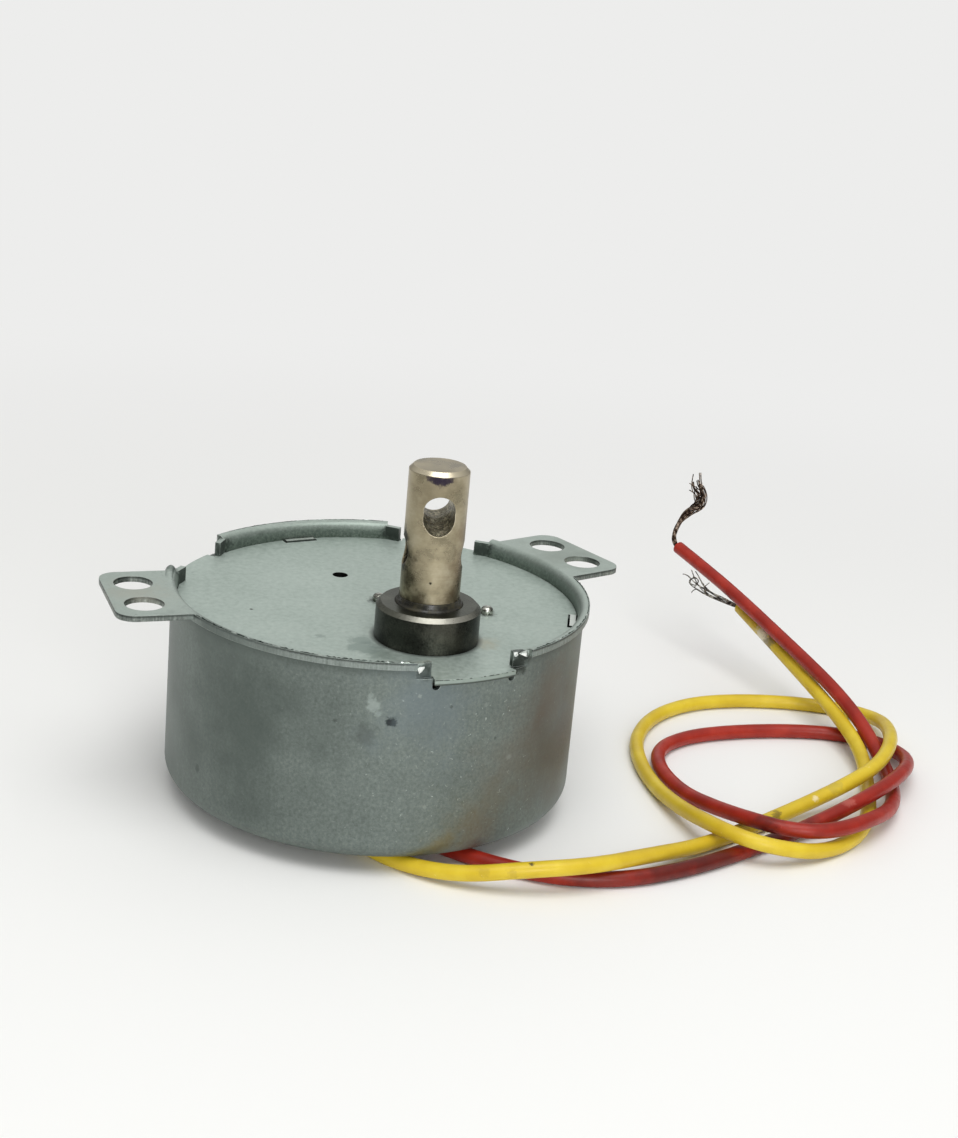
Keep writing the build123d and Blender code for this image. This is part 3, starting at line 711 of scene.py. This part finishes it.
# Beside the left ear the end of the lip is pushed up into a rounded ridge, which runs down along the bend of
# the ear
humpFacts = {
    "profile": (
        (25.75, 24.4), (25.62, 24.6), (25.5, 24.76), (25.35, 24.86), (25.2, 24.86), (25.07, 24.76),
        (24.98, 24.55), (24.92, 24.3),
    ),
    "from": 150.9,
    "span": 11.0,
    "steps": 22,
    "riseShare": 0.12,
    "startShare": 0.3,
    "foot": 24.4,
    "thickness": 0.16,
}


def makeHump(facts):
    shape = bmesh.new()
    points = [shape.verts.new(place(*around(r, facts["from"], z))) for r, z in facts["profile"]]
    edges = [shape.edges.new(pair) for pair in zip(points, points[1:])]
    axis = place(0, 0, 0)
    span = math.radians(facts["span"])
    bmesh.ops.spin(shape, geom=points + edges, cent=axis, axis=(0, 0, 1), angle=span, steps=facts["steps"])
    # The ridge rises steeply at its free end and runs down to the lip at the other
    foot = place(0, 0, facts["foot"]).z
    for vert in shape.verts:
        turn = math.degrees(math.atan2(vert.co.y - axis.y, vert.co.x - axis.x))
        share = (turn - facts["from"]) / facts["span"]
        height = min(1.0, facts["startShare"] + share / facts["riseShare"]) * (1.0 - share)
        vert.co.z = foot + (vert.co.z - foot) * height
    finishPiece("raised_lip_end", shape, zincMaterial, facts["thickness"], smooth=True)


makeHump(humpFacts)

# The punch that swung the stakes beside the front tab has torn flakes on their outer faces, painted near
# white as a painted glint. Each stake has its hinge's angle and the side that it turns to, and a flake's
# corner its distance from the hinge, its height and how far it stands off the face
shardFacts = {
    "stakes": (
        (-106.6, 1, (
            ((0.12, 23.75, 0.02), (0.35, 23.97, 0.06), (0.92, 23.95, 0.1), (0.98, 23.65, 0.02),
             (0.66, 23.3, 0.12), (0.35, 23.08, 0.02), (0.2, 23.4, 0.08)),
        )),
        (-73.4, -1, (
            ((1.95, 24.3, 0.02), (1.55, 24.32, 0.08), (1.4, 23.95, 0.02), (1.7, 23.72, 0.1),
             (1.92, 23.85, 0.02)),
            ((1.3, 24.12, 0.02), (0.9, 24.3, 0.08), (0.42, 24.42, 0.1), (0.25, 23.6, 0.02),
             (0.7, 23.82, 0.12)),
        )),
    ),
    "hingeRadius": 25.0,
    "swing": 20.0,
    "thickness": 0.12,
    "metal": {"tones": threeTones("b9c0ba", "eef2ee", "fbfdfb"), "size": 0.7},
}


def makeShards(facts):
    shape = bmesh.new()
    for hinge, side, shards in facts["stakes"]:
        # The face runs from its hinge on the wall, turned inwards by the swing
        start = Vector(around(facts["hingeRadius"], hinge, 0.0))
        along = Vector(around(1.0, hinge + side * (90 + facts["swing"]), 0.0))
        off = Vector(around(1.0, hinge + side * facts["swing"], 0.0))
        for corners in shards:
            points = [start + along * far + off * proud + Vector((0, 0, z)) for far, z, proud in corners]
            shape.faces.new([shape.verts.new(place(*p)) for p in points])
    bmesh.ops.triangulate(shape, faces=shape.faces[:])
    bmesh.ops.solidify(shape, geom=shape.faces[:], thickness=facts["thickness"] * mm)
    metal = patchyMetal("crushed_zinc_painted_glint", facts["metal"])
    finishPiece("crushed_stake_flakes", shape, metal)


makeShards(shardFacts)
print("lip burred")


# The cover is the same plated sheet, left flat: paler, even and dull, with an oil stain beside the bush,
# darker round the pins and round the foot of the bush, and a few specks
coverFacts = {
    "tones": threeTones("a4b2a9", "b1beb6", "bbc7bf"),
    "mottle": 0.7,
    "cloud": 10.0,
    "scratch": 0.25,
    "speck": 0.5,
    "stains": [
        ((-7.8, -11.6, 22.5), 1.5, "87968f", 0.7),
        ((-8.6, -13.8, 22.5), 1.8, "87968f", 0.75),
        ((-7.7, -16.3, 22.5), 1.6, "8a9990", 0.65),
        ((5.9, -16.5, 22.5), 2.0, "b3ab90", 0.45),
        ((-16.1, 1.3, 22.5), 0.22, "30342f", 0.9),
        ((-11.9, -9.0, 22.5), 0.6, "7c8983", 0.45),
        ((8.349, 2.621, 22.5), 1.15, "353a36", 0.75),
        ((10.894, -7.566, 22.5), 1.15, "353a36", 0.75),
        ((0.0, 0.0, 22.5), 1.25, "353a36", 0.75),
    ],
    "speckTone": "7f8c85",
    "scratchTone": "c6d0c9",
    "footTone": "3c413c",
    "edgeTone": "8d9991",
    "wornAndLitTone": "c3cdc5",
    "wornWidth": 0.18,
    "tabShadowTone": "090b09",
    "darkTone": "0b0c0a",
    "shadowLineFrom": 21.93,
    "shadowLineTo": 22.05,
    "topShadowFrom": 22.34,
    "topShadowFull": 22.4,
    "oilHole": (-0.6, 9.8, 22.15),
    "bushFoot": (0.0, -12.6, 22.5),
    "footFrom": 6.15,
    "footTo": 6.75,
}


def coverSteel(facts):
    material, tree, shader, at = startMaterial("cover_steel", metallic=0.6, roughness=0.52)
    fine = {"Vector": at, "Scale": 1 / facts["mottle"], "Detail": 5.0, "Roughness": 0.65}
    mottle = addNode(tree, "TexNoise", fine)
    cloud = addNode(tree, "TexNoise", {"Vector": at, "Scale": 1 / facts["cloud"], "Detail": 4.0})
    tone = addNode(tree, "Mix", {0: 0.3, 2: mottle, 3: cloud})
    base = addNode(tree, "ValToRGB", {0: tone}, stops=facts["tones"])
    speck = addNode(tree, "TexNoise", {"Vector": at, "Scale": 1 / facts["speck"], "Detail": 3.0})
    base = layOver(tree, base, facts["speckTone"], (speck, 0.68, 0.75, 0.45))
    drift = addNode(tree, "Mapping", {"Vector": at, "Rotation": (0, 0, 0.5), "Scale": (0.12, 1.0, 1.0)})
    lines = addNode(tree, "TexNoise", {"Vector": drift, "Scale": 1 / facts["scratch"], "Detail": 2.0})
    base = layOver(tree, base, facts["scratchTone"], (lines, 0.68, 0.74, 0.4))
    base = stainAll(tree, at, base, facts["stains"])
    far = addNode(tree, "VectorMath", {0: at, 1: facts["bushFoot"]}, out=1, operation="DISTANCE")
    base = layOver(tree, base, facts["footTone"], (far, facts["footTo"], facts["footFrom"], 0.75))
    # Its sheared edges, such as the tabs', are darker
    normalUp = faceTurn(tree)[1]
    lean = addNode(tree, "Math", {0: normalUp}, operation="ABSOLUTE")
    sheared = addNode(tree, "MapRange", {0: lean, 1: 0.2, 2: 0.5, 3: 0.75, 4: 0.0})
    base = layOver(tree, base, facts["edgeTone"], sheared)
    base = wornAndLitEdge(tree, at, base, facts["wornWidth"], facts["wornAndLitTone"], strength=0.45)
    # A near-black line of painted shadow lies where the tabs rest in the notches, and a broken one along
    # their top edge
    height = addNode(tree, "SeparateXYZ", {0: at}, out=2)
    lowLine = (height, facts["shadowLineTo"], facts["shadowLineFrom"], 1.0)
    base = layOver(tree, base, facts["tabShadowTone"], lowLine, sheared)
    highLine = (height, facts["topShadowFrom"], facts["topShadowFull"], 1.0)
    base = layOver(tree, base, facts["tabShadowTone"], highLine, (speck, 0.48, 0.56, 1.0), sheared)
    # The wall of the oil hole is painted black: painted shade in the hole
    holeFar = addNode(tree, "VectorMath", {0: at, 1: facts["oilHole"]}, out=1, operation="DISTANCE")
    base = layOver(tree, base, facts["darkTone"], (holeFar, 1.06, 1.0, 1.0))
    wire(tree, shader, base, (tone, 0.35, 0.65, 0.44, 0.6), softRelief(tree, mottle, depth=0.006, radius=0.1))
    return material


dress(coverSteel(coverFacts), "cover_plate")
print("cover plated")


# Turned steel shaft with a thin nickel plate: warm grey, smooth, with faint rings from the lathe, brown oil
# stains below and beside the cross holes, dark, rough walls inside them, and painted shade down both sides
shaftFacts = {
    "axis": (0.0, -12.6, 0.0),
    "tones": ((0.34, "857d67"), (0.5, "a49a80"), (0.66, "b8ae95")),
    "bored": ((0.38, "66614f"), (0.52, "938c74"), (0.68, "d2c9ab")),
    "blackTone": "17130b",
    "darkTone": "3a3219",
    "chamferTone": "cdc3aa",
    "wornAndLitTone": "d9d2bd",
    "wornWidth": 0.2,
    "ring": 0.16,
    "cloud": 3.0,
    "tear": 0.4,
    "holeFrom": 3.42,
    "holeTo": 3.2,
    "topBelow": 42.7,
    "blackBelow": 35.6,
    "chamferFrom": 42.8,
    "oilFrom": 27.0,
    "oilTo": 27.8,
    "stains": [
        # Brown oil film on both sides, partly painted shade
        ((3.5, 178, 33.2), 2.2, "2e281c", 0.9),
        ((3.5, -176, 30.2), 2.0, "3f3829", 0.8),
        ((3.5, -160, 28.0), 2.0, "4a4230", 0.7),
        ((3.5, -142, 27.4), 1.4, "4a4230", 0.6),
        ((3.5, -60, 28.6), 2.4, "5b4932", 0.75),
        ((3.5, -48, 31.6), 2.6, "65513a", 0.65),
        ((3.5, -42, 36.0), 2.4, "6d5940", 0.55),
        ((3.5, -119, 40.6), 3.4, "766c56", 0.6),
        ((3.5, -137, 42.65), 0.4, "463e42", 0.8),
        ((3.5, -129, 42.55), 0.5, "3c3540", 0.9),
        ((3.5, -121, 42.45), 0.55, "342d3a", 0.92),
        ((3.5, -113, 42.4), 0.6, "342d3a", 0.92),
        ((3.5, -105, 42.45), 0.55, "342d3a", 0.92),
        ((3.5, -97, 42.6), 0.45, "3c3540", 0.85),
        # Near-black streaks on the left side, partly painted shade
        ((3.5, 170, 34.9), 1.0, "120e08", 0.95),
        ((3.5, 166, 33.4), 1.0, "120e08", 0.95),
        ((3.5, 172, 31.6), 0.8, "1a150c", 0.9),
        ((3.5, -168, 27.2), 0.7, "17130a", 0.9),
        # A painted highlight on the rim of the upper hole
        ((3.45, -112, 36.95), 0.6, "e8e2cf", 0.8),
        ((3.5, -119, 30.3), 0.16, "1c1812", 0.9),
    ],
}


def nickelShaft(facts):
    material, tree, shader, at = startMaterial("nickel_plated_shaft", metallic=0.92, roughness=0.3)
    local = addNode(tree, "VectorMath", {0: at, 1: facts["axis"]}, operation="SUBTRACT")
    rings = addNode(tree, "VectorMath", {0: local, 1: (0.06, 0.06, 1)}, operation="MULTIPLY")
    lathe = addNode(tree, "TexNoise", {"Vector": rings, "Scale": 1 / facts["ring"], "Detail": 3.0})
    patches = {"Vector": local, "Scale": 1 / facts["cloud"], "Detail": 5.0, "Roughness": 0.6}
    cloud = addNode(tree, "TexNoise", patches)
    tone = addNode(tree, "Mix", {0: 0.1, 2: cloud, 3: lathe})
    base = addNode(tree, "ValToRGB", {0: tone}, stops=facts["tones"])
    base = stainAll(tree, at, base, facts["stains"], facts["axis"])
    height = addNode(tree, "SeparateXYZ", {0: at}, out=2)
    base = layOver(tree, base, facts["darkTone"], (height, facts["oilTo"], facts["oilFrom"], 0.85))
    plan = addNode(tree, "VectorMath", {0: local, 1: (1, 1, 0)}, operation="MULTIPLY")
    radius = addNode(tree, "VectorMath", {0: plan}, out=1, operation="LENGTH")
    within = addNode(tree, "MapRange", {0: radius, 1: facts["holeFrom"], 2: facts["holeTo"]})
    below = addNode(tree, "MapRange", {0: height, 1: facts["topBelow"], 2: facts["topBelow"] - 0.1})
    bored = addNode(tree, "Math", {0: within, 1: below}, operation="MULTIPLY")
    rough = {"Vector": at, "Scale": 1 / facts["tear"], "Detail": 4.0, "Distortion": 1.2}
    torn = addNode(tree, "TexNoise", rough)
    boredTone = addNode(tree, "ValToRGB", {0: torn}, stops=facts["bored"])
    # The lower hole is near black inside, and its rim gets little of the bright edge of wear and painted
    # highlight
    lower = (height, facts["blackBelow"], facts["blackBelow"] - 0.4, 0.85)
    boredTone = layOver(tree, boredTone, facts["blackTone"], lower)
    base = layOver(tree, base, boredTone, bored)
    # The chamfer at the free end is cut bright, and painted paler as a painted highlight
    ended = (height, facts["chamferFrom"], facts["chamferFrom"] + 0.06, 1.0)
    base = layOver(tree, base, facts["chamferTone"], (radius, 2.95, 3.0, 1.0), ended)
    upper = {0: height, 1: facts["blackBelow"], 2: facts["blackBelow"] + 0.6, 3: 0.08, 4: 0.5}
    kept = addNode(tree, "MapRange", upper)
    base = wornAndLitEdge(tree, at, base, facts["wornWidth"], facts["wornAndLitTone"], strength=kept)
    turned = softRelief(tree, lathe, depth=0.003, radius=0.12)
    tears = {"Height": torn, "Distance": 0.25 * mm, "Strength": bored, "Normal": turned}
    wire(tree, shader, base, (cloud, 0.35, 0.65, 0.24, 0.4), addNode(tree, "Bump", tears))
    return material


dress(nickelShaft(shaftFacts), "output_shaft")
print("shaft plated")


# Oil-filled sintered iron: near black, with the fine open grain of pressed powder; its top is painted greyer
# as painted light from above, and the turned chamfer is bright, painted brighter towards the front as a
# painted highlight
bushFacts = {
    "axis": (0.0, -12.6, 0.0),
    "side": threeTones("1b1c17", "31322d", "515149"),
    "top": threeTones("3c3f35", "4b4e43", "5e6155"),
    "grain": 0.22,
    "cloud": 2.6,
    "chamferTone": "a19f95",
    "highlightTowards": -101.0,
    "stains": [
        # Painted reflections, lighter and warm, on the front and sides of the bush
        ((6.1, -104.0, 25.2), 2.2, "5f5e54", 0.4),
        ((6.1, -84.0, 24.4), 2.0, "4c483d", 0.35),
        ((6.1, -150.0, 25.0), 2.6, "4a4d45", 0.45),
        ((4.2, -150.0, 26.85), 1.1, "1e1d12", 0.6),
        ((4.3, -125.0, 26.85), 1.2, "1e1d12", 0.65),
        ((4.3, -100.0, 26.85), 1.2, "1e1d12", 0.65),
    ],
}


def sinteredIron(facts):
    material, tree, shader, at = startMaterial("sintered_iron", metallic=0.85, roughness=0.36)
    powder = {"Vector": at, "Scale": 1 / facts["grain"], "Detail": 5.0, "Roughness": 0.7}
    grain = addNode(tree, "TexNoise", powder)
    cloud = addNode(tree, "TexNoise", {"Vector": at, "Scale": 1 / facts["cloud"], "Detail": 4.0})
    tone = addNode(tree, "Mix", {0: 0.6, 2: grain, 3: cloud})
    side = addNode(tree, "ValToRGB", {0: tone}, stops=facts["side"])
    top = addNode(tree, "ValToRGB", {0: tone}, stops=facts["top"])
    normal, normalUp = faceTurn(tree)
    # Painted light: faces that look up take the lighter top tone
    base = layOver(tree, side, top, (normalUp, 0.3, 0.6, 1.0))
    # The chamfer looks half up, and is cut bright; towards the front it is painted brighter as a painted
    # highlight
    slope = addNode(tree, "Math", {0: normalUp, 1: math.sqrt(0.5)}, operation="SUBTRACT")
    slopeFar = addNode(tree, "Math", {0: slope}, operation="ABSOLUTE")
    highlightSide = around(1.0, facts["highlightTowards"], 0.0)
    towards = addNode(tree, "VectorMath", {0: normal, 1: highlightSide}, out=1, operation="DOT_PRODUCT")
    brightShare = addNode(tree, "MapRange", {0: towards, 1: 0.4, 2: 0.69, 3: 0.15, 4: 0.85})
    base = stainAll(tree, at, base, facts["stains"], facts["axis"])
    base = layOver(tree, base, facts["chamferTone"], (slopeFar, 0.1, 0.05, brightShare))
    wire(tree, shader, base, (grain, 0.3, 0.7, 0.24, 0.44), softRelief(tree, grain, depth=0.03, radius=0.1))
    return material


dress(sinteredIron(bushFacts), "output_bush")
print("bush finished")


# Finishes of the pins and of the inner pieces: each is its own stuff, with a fine mottle and soft edges
innerFacts = {
    "ground_pin_steel": {
        "nodes": ("arbor_1", "arbor_2", "rotor_spindle"),
        "metallic": 1.0, "roughness": 0.26, "size": 0.7, "relief": 0.004,
        "tones": threeTones("696a62", "a0a198", "dcddd5"),
    },
    "pressed_pole_steel": {
        "nodes": ("lower_pole_plate",),
        "metallic": 0.8, "roughness": 0.42, "size": 0.7, "relief": 0.015,
        "tones": threeTones("8b938f", "a4aca7", "bac2bc"),
    },
    "machined_gear_steel": {
        "nodes": ("output_gear",),
        "metallic": 0.9, "roughness": 0.36, "size": 0.3, "relief": 0.02,
        "tones": threeTones("6d6b65", "84827b", "9c9a92"),
    },
    "natural_acetal": {
        "nodes": ("gear_1", "gear_2", "rotor_hub", "rotor_washer"),
        "metallic": 0.0, "roughness": 0.4, "size": 2.5, "relief": 0.01,
        "tones": threeTones("e0ddd2", "e9e7dd", "f0eee6"),
    },
    "bobbin_nylon": {
        "nodes": ("coil_bobbin",),
        "metallic": 0.0, "roughness": 0.48, "size": 2.0, "relief": 0.015,
        "tones": threeTones("d6d2c0", "dfdccb", "e7e4d6"),
    },
    "polyester_tape": {
        "nodes": ("coil_tape",),
        "metallic": 0.0, "roughness": 0.32, "size": 3.0, "relief": 0.03,
        "tones": threeTones("bfa23a", "d0b446", "dcc25a"),
    },
    "sintered_ferrite": {
        "nodes": ("rotor_magnet",),
        "metallic": 0.1, "roughness": 0.62, "size": 0.35, "relief": 0.02,
        "tones": threeTones("26272a", "343538", "454649"),
    },
    "stamped_brass": {
        "nodes": ("thrust_washer",),
        "metallic": 1.0, "roughness": 0.3, "size": 0.8, "relief": 0.01,
        "tones": threeTones("a88747", "c09d55", "d2b26c"),
    },
    "black_grommet_nylon": {
        "nodes": ("lead_grommet",),
        "metallic": 0.0, "roughness": 0.46, "size": 0.6, "relief": 0.02,
        "tones": threeTones("151515", "1e1e1e", "2b2b2a"),
    },
    "tinned_terminal_wire": {
        "nodes": ("lead_terminals",),
        "metallic": 0.95, "roughness": 0.33, "size": 0.4, "relief": 0.01,
        "tones": threeTones("918b7e", "aaa598", "c2beb2"),
    },
    "soft_solder": {
        "nodes": ("solder_joints",),
        "metallic": 0.95, "roughness": 0.26, "size": 0.5, "relief": 0.03,
        "tones": threeTones("9b9c9e", "b4b5b7", "cdced0"),
    },
}


def innerFinish(name, facts):
    material, tree, shader, at = startMaterial(name, facts["metallic"], facts["roughness"])
    fine = {"Vector": at, "Scale": 1 / facts["size"], "Detail": 4.0, "Roughness": 0.6}
    grain = addNode(tree, "TexNoise", fine)
    base = addNode(tree, "ValToRGB", {0: grain}, stops=facts["tones"])
    low, high = facts["roughness"] - 0.06, facts["roughness"] + 0.08
    soft = addNode(tree, "Bevel", {"Radius": 0.1 * mm}, samples=4)
    bump = {"Height": grain, "Distance": facts["relief"] * mm, "Strength": 0.6, "Normal": soft}
    wire(tree, shader, base, (grain, 0.35, 0.65, low, high), addNode(tree, "Bump", bump))
    dress(material, *facts["nodes"])


for name, facts in innerFacts.items():
    innerFinish(name, facts)

# The gear plate is pole steel too. Its legs come up through the cover: their sheared tops are bright and
# painted near white as painted light, and their sides are painted dark as painted shade in the slots
legFacts = {
    "tones": innerFacts["pressed_pole_steel"]["tones"],
    "grain": 0.7,
    "darkFrom": 20.8,
    "darkFull": 21.4,
    "side": "5c635e",
    "top": "e4eae4",
}


def legSteel(facts):
    material, tree, shader, at = startMaterial("pole_steel_with_sheared_legs", metallic=0.8, roughness=0.42)
    grain = addNode(tree, "TexNoise", {"Vector": at, "Scale": 1 / facts["grain"], "Detail": 4.0})
    base = addNode(tree, "ValToRGB", {0: grain}, stops=facts["tones"])
    height = addNode(tree, "SeparateXYZ", {0: at}, out=2)
    normalUp = faceTurn(tree)[1]
    end = layOver(tree, colour(facts["side"]), facts["top"], (normalUp, 0.6, 0.8, 1.0))
    base = layOver(tree, base, end, (height, facts["darkFrom"], facts["darkFull"], 1.0))
    relief = addNode(tree, "Bump", {"Height": grain, "Distance": 0.015 * mm, "Strength": 0.6})
    wire(tree, shader, base, (grain, 0.35, 0.65, 0.34, 0.5), relief)
    return material


dress(legSteel(legFacts), "gear_plate")

# Enamelled copper in fine level turns: the wire is 0.1 mm, drawn here at 0.3 mm so that the turns show
windingFacts = {"turn": 0.3, "patch": 1.5, "tones": ((0.2, "5a2f1a"), (0.5, "93502c"), (0.8, "b8704a"))}


def enamelledCopper(facts):
    material, tree, shader, at = startMaterial("enamelled_copper", metallic=0.85, roughness=0.3)
    height = addNode(tree, "SeparateXYZ", {0: at}, out=2)
    phase = addNode(tree, "Math", {0: height, 1: 2 * math.pi / facts["turn"]}, operation="MULTIPLY")
    wave = addNode(tree, "Math", {0: phase}, operation="SINE")
    turns = addNode(tree, "MapRange", {0: wave, 1: -1.0, 2: 1.0})
    patches = addNode(tree, "TexNoise", {"Vector": at, "Scale": 1 / facts["patch"], "Detail": 3.0})
    tone = addNode(tree, "Mix", {0: 0.5, 2: turns, 3: patches})
    base = addNode(tree, "ValToRGB", {0: tone}, stops=facts["tones"])
    relief = addNode(tree, "Bump", {"Height": turns, "Distance": 0.08 * mm, "Strength": 0.8})
    wire(tree, shader, base, relief=relief)
    return material


dress(enamelledCopper(windingFacts), "coil_winding")
print("inner pieces finished")


# Oil that has crept up from the bush's mouth round the shaft: an olive-brown ring with a hollow slope
oilFacts = {
    "axis": (0.0, -12.6),
    "bushTop": 26.85,
    "profile": [
        (3.51, 0.9), (3.57, 0.78), (3.6, 0.55), (3.68, 0.3), (3.8, 0.12), (3.96, 0.01), (3.96, -0.06),
        (3.9, -0.12), (3.55, -0.48), (3.51, -0.48),
    ],
    "tones": threeTones("13120b", "1e1c11", "322e1c"),
    "patch": 0.8,
    "steps": 96,
}


def oilFilm(facts):
    material, tree, shader, at = startMaterial("creeping_oil", metallic=0.0, roughness=0.16)
    shader.inputs["IOR"].default_value = 1.47
    cloud = addNode(tree, "TexNoise", {"Vector": at, "Scale": 1 / facts["patch"], "Detail": 4.0})
    base = addNode(tree, "ValToRGB", {0: cloud}, stops=facts["tones"])
    wire(tree, shader, base, (cloud, 0.4, 0.65, 0.26, 0.48))
    return material


def makeOil(facts):
    shape = bmesh.new()
    centre = place(*facts["axis"], facts["bushTop"])
    points = [shape.verts.new(centre + Vector((r, 0, z)) * mm) for r, z in facts["profile"]]
    edges = [shape.edges.new((a, b)) for a, b in zip(points, points[1:] + points[:1])]
    turn = {"axis": (0, 0, 1), "angle": 2 * math.pi, "steps": facts["steps"], "use_merge": True}
    bmesh.ops.spin(shape, geom=points + edges, cent=centre, **turn)
    bmesh.ops.remove_doubles(shape, verts=shape.verts, dist=0.0005 * mm)
    finishPiece("oil_in_bush_mouth", shape, oilFilm(facts), smooth=True)


makeOil(oilFacts)
print("oil laid")


# Floor and light: a pale floor, a sky that is darker towards the horizon, and three soft boxes
stageFacts = {
    "floorSize": 9.0,
    "floorTones": ((0.4, "eeeeec"), (0.6, "f0f0ee")),
    "floorCloud": 200.0,
    "plainFrom": 70.0,
    "plainTo": 260.0,
    "backdrop": "ededec",
    "skyHigh": "fbfbfa",
    "skyLow": "7a7b7b",
    "skyStrength": 0.62,
}
lampFacts = {
    "overhead_softbox": {"at": (-0.05, -0.2, 0.62), "size": 0.5, "watts": 2.5},
    "front_softbox": {"at": (-0.16, -0.62, 0.17), "size": 0.3, "watts": 1.7},
    "back_softbox": {"at": (0.37, 0.67, 0.26), "size": 0.4, "watts": 0.22},
}


def makeStage(facts):
    shape = bmesh.new()
    level = Matrix.Translation((0, 0, cadLow.z))
    bmesh.ops.create_grid(shape, x_segments=1, y_segments=1, size=facts["floorSize"] / 2, matrix=level)
    mesh = bpy.data.meshes.new("floor")
    shape.to_mesh(mesh)
    shape.free()
    floor = addObject("floor", mesh)
    material, tree, shader, at = startMaterial("pale_floor", metallic=0.0, roughness=0.75)
    cloud = addNode(tree, "TexNoise", {"Vector": at, "Scale": 1 / facts["floorCloud"], "Detail": 1.0})
    wire(tree, shader, addNode(tree, "ValToRGB", {0: cloud}, stops=facts["floorTones"]))
    # Away from the object the floor turns into the pale backdrop, in reflections too
    far = addNode(tree, "VectorMath", {0: at}, out=1, operation="LENGTH")
    fade = {0: far, 1: facts["plainFrom"], 2: facts["plainTo"]}
    beyond = addNode(tree, "MapRange", fade, interpolation_type="SMOOTHSTEP")
    camera, glossy, through = [addNode(tree, "LightPath", out=ray) for ray in (0, 3, 6)]
    mirrored = addNode(tree, "Math", {0: camera, 1: glossy}, operation="MAXIMUM")
    seen = addNode(tree, "Math", {0: mirrored, 1: through}, operation="MAXIMUM")
    plain = addNode(tree, "Math", {0: beyond, 1: seen}, operation="MULTIPLY")
    backdrop = addNode(tree, "Emission", {"Color": colour(facts["backdrop"]), "Strength": 1.0})
    mixed = addNode(tree, "MixShader", {0: plain, 1: shader.outputs[0], 2: backdrop})
    tree.links.new(mixed, tree.nodes["Material Output"].inputs["Surface"])
    mesh.materials.append(material)
    world = bpy.data.worlds.new("studio")
    world.use_nodes = True
    tree = world.node_tree
    up = addNode(tree, "SeparateXYZ", {0: addNode(tree, "TexCoord")}, out=2)
    sky = addNode(tree, "ValToRGB", {0: up}, stops=((0.0, facts["skyLow"]), (0.7, facts["skyHigh"])))
    background = tree.nodes["Background"]
    tree.links.new(sky, background.inputs["Color"])
    background.inputs["Strength"].default_value = facts["skyStrength"]
    bpy.context.scene.world = world


def addLamp(name, facts):
    data = bpy.data.lights.new(name, "AREA")
    data.size = facts["size"]
    data.energy = facts["watts"]
    lamp = addObject(name, data)
    lamp.location = facts["at"]
    lamp.rotation_euler = (-Vector(facts["at"])).to_track_quat("-Z", "Y").to_euler()


makeStage(stageFacts)
for name, facts in lampFacts.items():
    addLamp(name, facts)
bpy.context.scene.view_settings.view_transform = "Standard"
print("stage lit")
